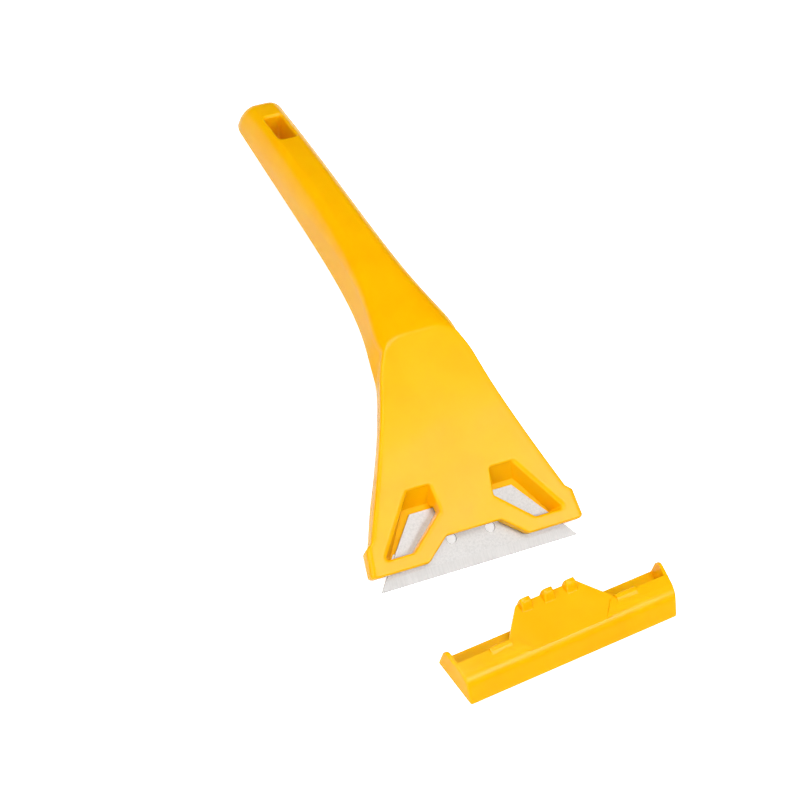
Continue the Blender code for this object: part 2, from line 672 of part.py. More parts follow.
def guard_profile(shrink=0.0):
    """Foot of the nose, straight sloping face and rounded shoulder, all moved in by shrink."""
    under, _, _, top = guard_levels()
    low = under + shrink
    high = top - shrink
    face_foot = -GUARD_NOSE_REACH + shrink / math.sin(GUARD_FACE_ANGLE)
    foot = (face_foot + shrink / math.tan(GUARD_FACE_ANGLE), low)
    corner = (face_foot + (high - under) / math.tan(GUARD_FACE_ANGLE), high)
    heel = (GUARD_DEPTH - GUARD_NOSE_REACH, high)
    return [foot] + fillet(foot, corner, heel, GUARD_SHOULDER_RADIUS - shrink, NOSE_STEPS)


def guard_prism(name, profile, inset=0.0, material=None):
    """Carry a cross-section from end to end of the guard, following its flared ends."""
    rings = [[(side * (guard_half_length(y) - inset), y, z) for y, z in profile] for side in (-1, 1)]
    return loft(name, rings, material)


def make_guard(material):
    """The guard: a hollow wedge open behind its panel, with end walls, a thumb tongue and its nubs."""
    under, pocket_floor, pocket_roof, top = guard_levels()
    heel = GUARD_DEPTH - GUARD_NOSE_REACH
    shell = guard_profile()
    shell += arc((heel - GUARD_HEEL_RADIUS, top - GUARD_HEEL_RADIUS), GUARD_HEEL_RADIUS, 90, 0)
    shell += [(heel, under)]
    guard = guard_prism("blade_guard", shell, 0.0, material)
    pocket = guard_profile(GUARD_WALL)
    pocket += [(GUARD_PANEL_REAR_DISTANCE, pocket_roof), (GUARD_PANEL_REAR_DISTANCE, top + CUT_OVERRUN),
               (heel + CUT_OVERRUN, top + CUT_OVERRUN), (heel + CUT_OVERRUN, pocket_floor)]
    cut(guard, guard_prism("cut_guard_pocket", pocket, GUARD_END_WALL))
    join(guard, tongue(top))
    cut(guard, thumb_recess(top))
    for side in (-1, 1):
        join(guard, shoulder_pad(side, pocket_roof, top))
    for k in range(NUB_COUNT):
        join(guard, nub(k, top))
    return guard


def tongue(top):
    """The thumb tongue, which runs back from the thumb recess between the head's two windows."""
    root = GUARD_PANEL_REAR_DISTANCE
    right = [(THUMB_RECESS_HALF_WIDTH, root - THUMB_RECESS_LENGTH), (TONGUE_ROOT_HALF_WIDTH, root),
             (TONGUE_END_HALF_WIDTH, root + TONGUE_LENGTH)]
    outline = right + [(-x, y) for x, y in reversed(right)]
    return prism("add_tongue", outline, top - TONGUE_DROP - TONGUE_THICKNESS, top - TONGUE_DROP / 2)


def shoulder_pad(side, pocket_roof, top):
    """A low pad that stiffens the panel's rear edge beside the tongue."""
    panel = GUARD_PANEL_REAR_DISTANCE
    crest = top + SHOULDER_PAD_HEIGHT
    section = [(panel - SHOULDER_PAD_DEPTH, (pocket_roof + top) / 2), (panel - SHOULDER_PAD_DEPTH, top),
               (panel - SHOULDER_PAD_DEPTH / 2, crest), (panel + SHOULDER_PAD_BACK, crest),
               (panel + SHOULDER_PAD_BACK, pocket_roof), (panel - SHOULDER_PAD_BACK, pocket_roof)]
    start = TONGUE_ROOT_HALF_WIDTH - SHOULDER_PAD_BACK
    name = "add_pad_right" if side > 0 else "add_pad_left"
    return loft(name, [[(side * x, y, z) for y, z in section] for x in (start, start + SHOULDER_PAD_LENGTH)])


def nub(index, top):
    """One of the ridges across the end of the tongue: a level crest that slopes away to the front."""
    rear = GUARD_PANEL_REAR_DISTANCE + TONGUE_LENGTH
    centre = (index - (NUB_COUNT - 1) / 2) * NUB_SPACING
    foot = top - TONGUE_DROP - TONGUE_THICKNESS / 2
    full = NUB_HEIGHT + TONGUE_THICKNESS / 2
    low = TONGUE_THICKNESS / 4
    middle = rear - (NUB_CREST_LENGTH + NUB_LENGTH) / 2
    stages = [(rear + NUB_OVERHANG, full), (rear - NUB_CREST_LENGTH, full), (middle, (full + low) / 2),
              (rear - NUB_LENGTH, low)]
    turns = np.linspace(0, math.pi, NOSE_STEPS)
    across = NUB_WIDTH / 2 * np.sign(np.cos(turns)) * np.abs(np.cos(turns)) ** CREST_FULLNESS_SHARE
    rise = np.sin(turns) ** CREST_FULLNESS_SHARE
    rings = [[(centre + a, y, foot + height * r) for a, r in zip(across, rise)] for y, height in stages]
    return loft(f"add_nub_{index + 1}", rings)


def thumb_recess(top):
    """Level the tongue and let the flat in front of it into the shoulder's curve."""
    rear = GUARD_PANEL_REAR_DISTANCE
    front = rear - THUMB_RECESS_LENGTH
    far = front - CUT_OVERRUN
    side = (TONGUE_ROOT_HALF_WIDTH - THUMB_RECESS_HALF_WIDTH) / 2
    wide = TONGUE_ROOT_HALF_WIDTH + CUT_OVERRUN
    right = [(THUMB_RECESS_HALF_WIDTH - side, far), (THUMB_RECESS_HALF_WIDTH - side, front),
             (TONGUE_ROOT_HALF_WIDTH - side, rear), (wide, rear + SHOULDER_PAD_BACK),
             (wide, rear + TONGUE_LENGTH + CUT_OVERRUN)]
    outline = right + [(-x, y) for x, y in reversed(right)]
    return prism("cut_thumb_recess", outline, top - TONGUE_DROP, top + CUT_OVERRUN)


def placed_points(thing):
    """World positions of an object's points after its modifiers."""
    graph = bpy.context.evaluated_depsgraph_get()
    final = thing.evaluated_get(graph)
    mesh = final.to_mesh()
    points = np.array([final.matrix_world @ vertex.co for vertex in mesh.vertices])
    final.to_mesh_clear()
    return points


def rest_tilt(body):
    """The angle at which the cutting edge and the underside of the tip touch the ground together."""
    points = placed_points(body)
    edge_height = -BLADE_EDGE_THICKNESS / 2
    beyond = points[points[:, 1] > CREASE_DISTANCE]
    return -float(np.min(np.arctan2(beyond[:, 2] - edge_height, beyond[:, 1])))


def finish(thing, smooth_degrees):
    """Shade round surfaces smooth and keep the real edges sharp."""
    thing.data.shade_smooth()
    thing.data.set_sharp_from_angle(angle=math.radians(smooth_degrees))


def place_on_ground(body, blade, guard):
    """Lay the tool as an arch, the guard flat in front of its edge, and centre both on the origin."""
    tilt = rest_tilt(body)
    tool_frame = bpy.data.objects.new("tool_frame", None)
    guard_frame = bpy.data.objects.new("guard_frame", None)
    for empty in (tool_frame, guard_frame):
        bpy.context.scene.collection.objects.link(empty)
    for thing, frame in ((body, tool_frame), (blade, tool_frame), (guard, guard_frame)):
        thing.parent = frame
        for step in thing.modifiers:
            step.object.parent = frame
    tool_frame.rotation_euler = (tilt, 0, 0)
    guard_frame.rotation_euler = (0, 0, math.radians(GUARD_TURN_DEGREES))
    guard_frame.location = (GUARD_ASIDE, -GUARD_AHEAD, 0)
    bpy.context.view_layer.update()
    tool_points = np.vstack([placed_points(body), placed_points(blade)])
    guard_points = placed_points(guard)
    tool_frame.location.z -= float(tool_points[:, 2].min())
    guard_frame.location.z -= float(guard_points[:, 2].min())
    everything = np.vstack([tool_points, guard_points])
    middle = (everything.min(axis=0) + everything.max(axis=0)) / 2
    for empty in (tool_frame, guard_frame):
        empty.location.x -= float(middle[0])
        empty.location.y -= float(middle[1])
    bpy.context.view_layer.update()


def main():
    clear_scene()
    yellow = make_material("yellow polypropylene", (0.95, 0.50, 0.0), 0.32, 0.0)
    steel = make_material("ground carbon steel", (0.62, 0.61, 0.60), 0.38, 1.0)
    body = make_body(yellow)
    blade = make_blade(steel)
    guard = make_guard(yellow)
    for thing in (body, blade, guard):
        finish(thing, 30)
    place_on_ground(body, blade, guard)


main()
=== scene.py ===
"""Looks of a moulded hand scraper with its trapezoid blade and slip-on guard.

Laid out as an add-on and run as a script. Every size is in metres. The tool has its own frame: X runs
along the cutting edge, Y from the edge up the head, Z out of the windowed front, with the blade's middle
plane at Z = 0. The guard's frame is the same for a guard slipped over the edge.
"""
import json
import math

import bpy
import numpy as np
from bpy.props import FloatProperty, PointerProperty, StringProperty
from mathutils import Matrix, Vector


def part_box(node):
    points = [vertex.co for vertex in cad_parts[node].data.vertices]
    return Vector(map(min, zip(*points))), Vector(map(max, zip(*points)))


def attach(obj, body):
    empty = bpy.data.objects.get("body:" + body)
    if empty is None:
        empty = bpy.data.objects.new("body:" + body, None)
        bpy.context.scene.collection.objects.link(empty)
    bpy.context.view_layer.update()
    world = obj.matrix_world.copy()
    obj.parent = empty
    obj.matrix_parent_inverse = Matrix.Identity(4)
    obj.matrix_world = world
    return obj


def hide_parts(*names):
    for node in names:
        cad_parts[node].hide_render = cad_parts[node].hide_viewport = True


bl_info = {
    "name": "Hand Scraper Looks",
    "version": (1, 0, 0),
    "blender": (4, 5, 0),
    "location": "3D View > Sidebar > Scraper",
    "description": "Builds the visible pieces, materials and studio of a moulded hand scraper",
    "category": "Object",
}

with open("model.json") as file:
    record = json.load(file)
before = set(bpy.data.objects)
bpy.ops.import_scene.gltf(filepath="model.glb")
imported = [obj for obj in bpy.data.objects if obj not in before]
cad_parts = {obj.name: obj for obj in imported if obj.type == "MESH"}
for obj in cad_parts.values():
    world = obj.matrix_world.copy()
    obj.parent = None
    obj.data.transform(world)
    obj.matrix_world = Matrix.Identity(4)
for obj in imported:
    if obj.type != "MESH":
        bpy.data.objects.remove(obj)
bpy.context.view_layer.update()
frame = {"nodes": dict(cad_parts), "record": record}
BLADE_BOX = [np.array(corner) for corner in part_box("trapezoid_blade")]
GUARD_BOX = [np.array(corner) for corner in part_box("blade_guard")]
JOINTS = {joint["name"]: joint for joint in frame["record"]["behaviour"]["joints"]}

# The photograph's frame and where it was taken from, in the tool's own frame
IMAGE_SIDE = 800
SENSOR_WIDTH = 36.0
FOCAL_PIXELS = 2846.0
CAMERA_PLACE = (-0.304162, -0.028451, 0.736500)
CAMERA_AIM = (-0.008139, 0.050383, 0.0)
CAMERA_UP = (0.24772, 0.94787, 0.20100)
CLIP_START = 0.01
TURN = math.pi / 2

# The blade, and its seat in the head, which is half the slot's height and how far its floor lies below
BLADE_HALF = 0.031
BLADE_BACK_HALF = 0.01605
BLADE_DEPTH = 0.0188
BLADE_EDGE = 0.0001
RUNNING_GAP = 0.0003
SEAT = 0.0006
GRIND_DEPTH = 0.003
GRIND_SOFTNESS = 0.0002

# The studio's lamps: azimuth and elevation in degrees, distance, then the lamp's sides
LAMPS = {
    "key": ((-57.0, 45.0, 1.2), (0.42, 0.38)),
    "top": ((90.0, 88.0, 1.3), (0.9, 0.9)),
    "fill": ((-163.0, 35.0, 1.3), (1.0, 0.9)),
    "front": ((-125.0, 15.0, 1.3), (1.2, 0.5)),
}

# The card's azimuth and elevation, and the angles off its middle up to which it is dark and where it is gone
CARD_PLACE = (95.0, 20.0)
CARD_DARK, CARD_GONE = 50.0, 80.0

# The floor: the share of its glow that shows in reflections, and its height
MIRRORED_GLOW = 0.34
FLOOR_LEVEL = -0.0002

# How the surfaces are finished: sizes of the patterns in metres, then what the shaders take
CLOUDS = 0.015
SINK_LENGTH, SINK_DEPTH = 0.018, 0.00025
MOULD_TEXTURE, MOULD_TEXTURE_DEPTH = 0.0005, 0.00006
STEEL_GRAIN = 0.0006
GRIND_LINE, GRIND_LINE_LENGTH, GRIND_LINE_DEPTH = 0.00035, 0.006, 0.00004
PAPER_CLOUDS = 0.4
PAPER_SHADE = 0.995
PLASTIC_IOR = 1.49
PLASTIC_SPECULAR = 0.20
PLASTIC_SCATTER = 0.35
PLASTIC_SCATTER_DEPTH = 0.003
PLASTIC_SCATTER_COLOUR = (1.0, 0.55, 0.10)
PLASTIC_GLOSS_SPREAD = 0.04
STEEL_GLOSS_BELOW, STEEL_GLOSS_ABOVE = 0.06, 0.08

# Shading: edges sharper than these angles stay edges, and larger faces lead the normals
BODY_EDGE_DEGREES = 32
GUARD_EDGE_DEGREES = 35
LARGER_FACES_WEIGHT = 80

# The smallest rounding in any outline
LEAST_RADIUS = 0.00005

# Rows of the body's grid from lip to tip, and the columns round half of a section
LIP_ROWS, EAR_ROWS, HEAD_ROWS, CREASE_ROWS = 6, 48, 36, 28
BEND_ROWS, LAG_ROWS, GRIP_ROWS, TIP_ROWS = 61, 26, 84, 17
FLAT_COLUMNS, CROWN_COLUMNS, WALL_COLUMNS, HEEL_COLUMNS = 10, 34, 6, 6

# Lesser sizes of the head
EAR_TOP = 0.0143
EAR_SHOULDER = 0.0128
EAR_LEAN = 0.0009
EAR_CORNER = 0.0009
EAR_RADII = (0.0006, 0.0009, 0.0010)
EAR_END, EAR_PLAN_END = 0.0170, 0.0240
EAR_UNDERSIDE = 0.0110
BACK_HEIGHT = -0.0015
FLOOR_END = 0.022
LIP_BACK_DROP = 0.0002
FLARE_SOFTNESS = 0.017
DRAFT_SHARE = 0.12
DRAFT_BLEND = 0.012
CORNER_LOSS = 0.0011
CORNER_LENGTH = 0.004
CORNER_SOFTNESS = 0.001
BACK_PAIRING = 0.848
BACK_BEND_START = (0.05591, 0.00081)
BACK_LAG = 0.0089
BEND_BEFORE = 0.003
BEND_AFTER = 0.006
CREASE_SOFTNESS = 0.0004
FACE_BOW = 0.00025
FACE_BOW_REACH = 0.020
FACE_BOW_CENTRE = 0.036
EAR_ROWS_END = 0.0160
PAIRED_ROWS_END = 0.030
CREASE_ROWS_LENGTH = 0.009

# The windows: the right one's inner side from top to toe, then how far its outer side stands off the blade's
# end at the toe and off the blade's back corner at the top, first at the rim and then at the foot
WINDOW_INNER = ((0.0095, 0.0248), (0.0085, 0.0172), (0.0191, 0.0081))
WINDOW_OUTER = (0.0035, 0.0002)
WINDOW_FOOT_OUTER = (0.0009, 0.00155)
WINDOW_FOOT_TOP = 0.0205
WINDOW_RIM_SHARES = (1.0, 1.0, 1.0, 2.0, 1.0)
WINDOW_RADII = (0.0007, 0.0009, 0.0009, 0.0007, 0.0007)
WINDOW_FOOT_RADIUS = 0.0005

# The recess in the lip, by the corners of its right side, and the open underside with its notch
RECESS_SIDE = ((0.020, 0.0), (0.020, 0.0038), (0.0157, 0.0041), (0.0086, 0.0100))
RECESS_RADII = (0.0002, 0.0002, 0.0002, 0.0022, 0.0010, 0.0010, 0.0022, 0.0002)
RECESS_RIM = 0.0005
CUT_AHEAD = -0.004
CUT_BELOW = 0.004
FLOOR_FRONT = 0.0094
NOTCH_HALF, NOTCH_BACK = 0.0100, 0.0122

# Lesser sizes of the handle
CROWN_FLAT = 0.0035
CROWN_DEPTH = 0.0060
CROWN_DROP = 0.0036
CROWN_POWER = 0.80
WALL_DRAFT = 0.0013
WALL_BLEND = 0.005
CREST_FADE_START = 0.012
CREST_FADE_LENGTH = 0.060
GRIP_FLAT = 0.0025
GRIP_DEPTH = 0.0078
FLAT_FADE = 0.0105
DEPTH_FADE = 0.015
FLARE_FADE = 0.024
FLARE_START_SOFTNESS = 0.0015
LAG_FADE = 0.020
WALL_LEAST = 0.0004
HANDLE_THICKNESS_AT_CREASE = 0.0080
HEEL_RADIUS = 0.0010
TIP_RADIUS = 0.0032
TIP_BACK_RADIUS = 0.0029
TIP_LEAN = 0.0034
TIP_FRONT_RADIUS = 0.0026
SLOT_MARGIN = 0.0153
SLOT_CORNER = 0.0010
SLOT_FRONT_RIM = 0.0011
SLOT_BACK_RIM = 0.0005

# The hollow back: pockets along the handle, two in the head, the ribs between them, and the pockets' chamfer
SLOT_WALL = 0.0022
CORE_START = 0.007
CORE_COUNT = 4
CORE_WALL = 0.0021
CORE_SKIN = 0.0024
RIB = 0.0016
CHAMFER_DEPTH, CHAMFER_WIDTH, CORE_PAST = 0.0004, 0.0006, 0.0008
HEAD_CORE_ENDS = (0.0285, 0.0545)

# Lesser sizes of the guard
GUARD_NOSE = 0.0030
GUARD_DEPTH = 0.0155
GUARD_UNDER = -0.0025
GUARD_TOP = 0.00451
GUARD_PANEL = 0.0074
GUARD_FACE_ANGLE = math.radians(55)
GUARD_HALF = 0.0342
GUARD_WIDENING = 0.0018
GUARD_PILLOW = 0.0006
GUARD_RADII = (0.0004, 0.0004, 0.0021)
EDGE_SOFTENING = 0.00022
EDGE_SOFTENING_DEGREES = 35
POCKET_BACK = 0.0175
POCKET_TOP = 0.009
POCKET_RADII = (0.0003, 0.0003, 0.0003, 0.0001, 0.0001)

# The guard's thumb tongue, the recess that levels it, the pads beside it and the nubs on its end
TONGUE_LENGTH = 0.0092
TONGUE_DROP = 0.0005
TONGUE_ROOT = 0.0050
TONGUE_THICKNESS = 0.0010
TONGUE_HALVES = (0.0136, 0.0178, 0.0099)
TONGUE_RADII = (0.0002, 0.0002, 0.0002, 0.0010, 0.0010, 0.0002)
THUMB_SIDE = ((0.0115, -0.0100), (0.0115, -0.0050), (0.0157, 0.0), (0.0220, 0.0005), (0.0220, 0.0140))
THUMB_RADII = (0.0003, 0.0003, 0.0010, 0.0004, 0.0003, 0.0003, 0.0003, 0.0003, 0.0004, 0.0010)
THUMB_WALL = ((0.00015, 0.00005), (0.0009, 0.0020))
PAD_SECTION = ((-0.0026, -0.0004), (0.0004, -0.0012), (0.0004, 0.0006), (-0.0008, 0.0006))
PAD_RADII = (0.0002, 0.0001, 0.0003, 0.0012)
PAD_ENDS = (0.0174, 0.0239, 0.0242)
PAD_SHRINK = (0.0, 0.0, 0.0003)
PAD_HALF_SECTION = 0.0012
NUB_WIDTH = 0.0036
NUB_LENGTH = 0.0038
NUB_OVERHANG = 0.0003
NUB_SUNK = 0.0004
NUB_TOE_HEIGHT = 0.0003
NUB_LEVEL_SHARE = 0.22
NUB_POWER = 0.4


# Sizes and colours that a user may change
class ScraperHead(bpy.types.PropertyGroup):
    """Sizes of the head and of what is cut into it"""
    lip_reach: FloatProperty(name="Lip reach", description="Lip's distance behind the cutting edge",
                             default=0.0041, unit="LENGTH")
    lip_height: FloatProperty(name="Lip height", description="Front face above the blade plane at the lip",
                              default=0.0032, unit="LENGTH")
    lip_radius: FloatProperty(name="Lip rounding", description="Rounding of the lip's edges",
                              default=0.0006, unit="LENGTH")
    crease: FloatProperty(name="Crease distance", description="Crease's distance from the cutting edge",
                          default=0.0661, unit="LENGTH")
    crease_height: FloatProperty(name="Crease height", default=0.0090, unit="LENGTH",
                                 description="Front face above the blade plane at the crease")
    crease_half: FloatProperty(name="Crease half width", description="Half width of the head at the crease",
                               default=0.0144, unit="LENGTH")
    foot_half: FloatProperty(name="Foot half width", description="Half width of the head above its ears",
                             default=0.0307, unit="LENGTH")
    ear_half: FloatProperty(name="Ear half span", description="Half span over the ears",
                            default=0.0334, unit="LENGTH")
    edge_radius: FloatProperty(name="Edge rounding", description="Rounding along the sides of the head",
                               default=0.0014, unit="LENGTH")
    rim: FloatProperty(name="Window rim", description="Rounding round the windows", default=0.0008, unit="LENGTH")


class ScraperHandle(bpy.types.PropertyGroup):
    """Sizes of the arched handle"""
    length: FloatProperty(name="Length", description="Handle from crease to tip", default=0.1104, unit="LENGTH")
    start_angle: FloatProperty(name="Angle at crease", description="Lean of the handle where it starts",
                               default=math.radians(28.6), unit="ROTATION")
    tip_angle: FloatProperty(name="Angle at tip", description="Lean of the handle at its tip",
                             default=math.radians(42.5), unit="ROTATION")
    half_width: FloatProperty(name="Grip half width", description="Half width that the flare dies away to",
                              default=0.0058, unit="LENGTH")
    tip_half_width: FloatProperty(name="Tip half width", description="Half width at the tip",
                                  default=0.0072, unit="LENGTH")
    thickness: FloatProperty(name="Grip thickness", description="Thickness in the middle of the grip",
                             default=0.0133, unit="LENGTH")
    tip_thickness: FloatProperty(name="Tip thickness", description="Thickness at the tip",
                                 default=0.0088, unit="LENGTH")
    slot_length: FloatProperty(name="Slot length", description="Length of the hanging slot",
                               default=0.0120, unit="LENGTH")
    slot_width: FloatProperty(name="Slot width", description="Width of the hanging slot",
                              default=0.0055, unit="LENGTH")


class ScraperGuard(bpy.types.PropertyGroup):
    """Sizes of the blade guard"""
    wall: FloatProperty(name="Wall", description="Thickness of its panels", default=0.0008, unit="LENGTH")
    end_wall: FloatProperty(name="End wall", description="Thickness of its ends", default=0.0012, unit="LENGTH")
    shoulder: FloatProperty(name="Shoulder radius", description="Radius between the face and the panel",
                            default=0.0055, unit="LENGTH")
    nub_pitch: FloatProperty(name="Nub pitch", description="Spacing of the grip nubs",
                             default=0.0074, unit="LENGTH")
    nub_height: FloatProperty(name="Nub height", description="Height of the grip nubs",
                              default=0.0023, unit="LENGTH")


class ScraperColours(bpy.types.PropertyGroup):
    """Colours as sRGB hex values, and the finish of the surfaces"""
    plastic: StringProperty(name="Plastic", description="Masterbatch yellow of the mouldings", default="#FFBA00")
    plastic_deep: StringProperty(name="Plastic, dense", description="Yellow where the melt is denser",
                                 default="#FDB300")
    steel: StringProperty(name="Steel", description="Ground faces of the blade", default="#C2C0BE")
    steel_dark: StringProperty(name="Steel, grain", description="Darker grain of the blade", default="#AEACAA")
    grind: StringProperty(name="Grind", description="Ground band along the edge", default="#B5B3B1")
    grind_dark: StringProperty(name="Grind, lines", description="Grinding lines of that band", default="#ACAAA8")
    floor: StringProperty(name="Floor", description="Paper sweep under the object", default="#F7F7F7")
    plastic_roughness: FloatProperty(name="Plastic roughness", description="Moulded semi-gloss",
                                     default=0.23, min=0.0, max=1.0, subtype="FACTOR")
    steel_roughness: FloatProperty(name="Steel roughness", description="Fine ground steel",
                                   default=0.46, min=0.0, max=1.0, subtype="FACTOR")


class ScraperStage(bpy.types.PropertyGroup):
    """The studio's lamps and floor"""
    key_power: FloatProperty(name="Key lamp", description="Soft lamp to the right of the camera", default=4.1,
                             unit="POWER")
    top_power: FloatProperty(name="Top lamp", description="Soft lamp overhead", default=12.0, unit="POWER")
    fill_power: FloatProperty(name="Fill lamp", description="Soft lamp to the left", default=7.5, unit="POWER")
    front_power: FloatProperty(name="Front lamp", description="Low soft lamp in front", default=3.0, unit="POWER")
    sky: FloatProperty(name="Sky", description="Plain light from all round", default=0.10, min=0.0)
    card: FloatProperty(name="Dark card", description="What is left of the sky behind the handle", default=0.02,
                        min=0.0)
    floor_side: FloatProperty(name="Floor side", description="Side of the square floor",
                              default=8.0, unit="LENGTH")
    floor_glow: FloatProperty(name="Floor white", description="What the floor adds so that it reads white",
                              default=0.72, min=0.0)


# Numpy surfaces
def unit(vectors):
    """Vectors divided by their lengths."""
    return vectors / np.linalg.norm(vectors, axis=-1, keepdims=True)


def surface(name, rings):
    """A closed skin over a grid of rings: face (i, k) joins points k and k + 1 of rings i and i + 1.

    The first and last rings are closed with flat ends. The signed volume, a sum of triple products over
    all faces, says whether the skin is inside out, and then every face is turned round.
    """
    rows, count, _ = rings.shape
    points = rings.reshape(-1, 3)
    i, k = np.meshgrid(np.arange(rows - 1), np.arange(count), indexing="ij")
    after = (k + 1) % count
    quads = np.stack([i * count + k, i * count + after, (i + 1) * count + after, (i + 1) * count + k], -1)
    quads = quads.reshape(-1, 4)
    near = np.arange(count)[::-1]
    far = np.arange(count) + (rows - 1) * count
    a, b, c, d = (points[quads[:, n]] for n in range(4))
    volume = np.sum(np.cross(a, b) * c) + np.sum(np.cross(a, c) * d)
    for cap in (near, far):
        fan = points[cap]
        volume += np.sum(np.cross(fan[:1].repeat(count - 2, 0), fan[1:-1]) * fan[2:])
    faces = quads.tolist() + [near.tolist(), far.tolist()]
    if volume < 0:
        faces = [face[::-1] for face in faces]
    return mesh_object(name, points, faces)


def mesh_object(name, points, faces, material=None):
    """A mesh object from an array of points and a list of faces."""
    mesh = bpy.data.meshes.new(name)
    mesh.from_pydata(points.tolist(), [], faces)
    mesh.update()
    thing = bpy.data.objects.new(name, mesh)
    bpy.context.scene.collection.objects.link(thing)
    if material:
        mesh.materials.append(material)
    return thing


def carve(target, tools, operation="DIFFERENCE"):
    """Apply exact Booleans with each tool in turn, then bake the result into the target's mesh."""
    for tool in tools:
        step = target.modifiers.new(tool.name, "BOOLEAN")
        step.operation = operation
        step.solver = "EXACT"
        step.object = tool
    bake(target)
    for tool in tools:
        bpy.data.objects.remove(tool, do_unlink=True)


def bake(target):
    """Replace an object's mesh by what its modifiers make of it."""
    bpy.context.view_layer.update()
    graph = bpy.context.evaluated_depsgraph_get()
    mesh = bpy.data.meshes.new_from_object(target.evaluated_get(graph))
    target.modifiers.clear()
    target.data = mesh
    mesh.name = target.name


def finish_shading(target, degrees):
    """Smooth shading with real edges kept sharp, and normals that follow the larger faces."""
    target.data.shade_smooth()
    target.data.set_sharp_from_angle(angle=math.radians(degrees))
    step = target.modifiers.new("weighted normals", "WEIGHTED_NORMAL")
    step.keep_sharp = True
    step.weight = LARGER_FACES_WEIGHT


def outline(corners, radii, grow=0.0, steps=6):
    """A closed outline with rounded corners, its sides moved out by grow (one value, or one for each side).

    Side k runs from corner k to k + 1, anticlockwise. A moved corner solves v.n1 = g1 and v.n2 = g2 for the
    two side normals. Its arc has the corner's radius plus the growth, or minus it where the corner is
    hollow, and its points are the slerp (first sin((1-s)t) + last sin(st)) / sin(t) round the arc's centre.
    """
    corners = np.asarray(corners, float)
    count = len(corners)
    grow = np.broadcast_to(np.asarray(grow, float), (count,))
    ahead = unit(np.roll(corners, -1, 0) - corners)
    behind = np.roll(ahead, 1, 0)
    out_after = np.stack([ahead[:, 1], -ahead[:, 0]], -1)
    out_before = np.roll(out_after, 1, 0)
    grow_before = np.roll(grow, 1)
    cosine = np.sum(out_after * out_before, -1)
    share = 1 / (1 - cosine ** 2)
    moved = corners + ((grow_before - cosine * grow) * share)[:, None] * out_before
    moved = moved + ((grow - cosine * grow_before) * share)[:, None] * out_after
    cross = behind[:, 0] * ahead[:, 1] - behind[:, 1] * ahead[:, 0]
    bend = np.sign(cross)
    turn = np.arccos(np.clip(np.sum(behind * ahead, -1), -1, 1))
    radius = np.maximum(np.asarray(radii, float) + bend * (grow + grow_before) / 2, LEAST_RADIUS)
    reach = radius * np.tan(turn / 2)
    first = moved - behind * reach[:, None]
    last = moved + ahead * reach[:, None]
    centre = first - out_before * (radius * bend)[:, None]
    s = np.linspace(0, 1, steps)[None, :, None]
    t = turn[:, None, None]
    swing = (first - centre)[:, None] * np.sin((1 - s) * t) + (last - centre)[:, None] * np.sin(s * t)
    return (centre[:, None] + swing / np.sin(t)).reshape(-1, 2)


def mirrored_plan(right):
    """A closed outline from the corners of its right side, front to back, that begins at the left front."""
    return [(-right[0][0], right[0][1]), *right, *[(-x, y) for x, y in right[:0:-1]]]


def flat_ring(plan, height):
    """A plan outline laid flat at a height."""
    return np.column_stack([plan, np.full(len(plan), height)])


def rim_levels(radius, start_degrees=18.0, steps=6, over=0.0006):
    """Pairs of (how far a cut stands out, depth below the face) down a rounded rim.

    The rim is the quarter circle out = r (1 - sin a), depth = r (1 - cos a), entered along its tangent at
    the start angle from a little above the face, so that it meets the face cleanly.
    """
    a = np.radians(np.linspace(start_degrees, 90, steps))
    out = radius * (1 - np.sin(a))
    depth = radius * (1 - np.cos(a))
    lead = (over + depth[0]) / math.tan(a[0])
    return [(out[0] + lead, -over)] + list(zip(out, depth))


def rise(drop, softness):
    """A line that starts level and bends into a slope of one: sqrt(x^2 + s^2) - s."""
    return np.sqrt(drop ** 2 + softness ** 2) - softness


def path_points(corners, radii, steps):
    """An open path with rounded corners, as an array: each inner corner becomes an arc of its radius."""
    corners = np.asarray(corners, float)
    pieces = [corners[:1]]
    for before, corner, after, radius in zip(corners[:-2], corners[1:-1], corners[2:], radii):
        u = unit(before - corner)
        v = unit(after - corner)
        half = math.acos(float(np.clip(u @ v, -1, 1))) / 2
        reach = radius / math.tan(half)
        centre = corner + unit(u + v) * radius / math.sin(half)
        sweep = math.pi - 2 * half
        s = np.linspace(0, 1, steps)[:, None]
        first = corner + u * reach - centre
        last = corner + v * reach - centre
        pieces.append(centre + (first * np.sin((1 - s) * sweep) + last * np.sin(s * sweep)) / math.sin(sweep))
    pieces.append(corners[-1:])
    return np.vstack(pieces)


# The moulded body
def directions(lean):
    """Along and out of a line in side view that falls by an angle: (cos a, -sin a) and (sin a, cos a)."""
    lean = np.asarray(lean, float)
    return (np.stack([np.cos(lean), -np.sin(lean)], -1), np.stack([np.sin(lean), np.cos(lean)], -1))


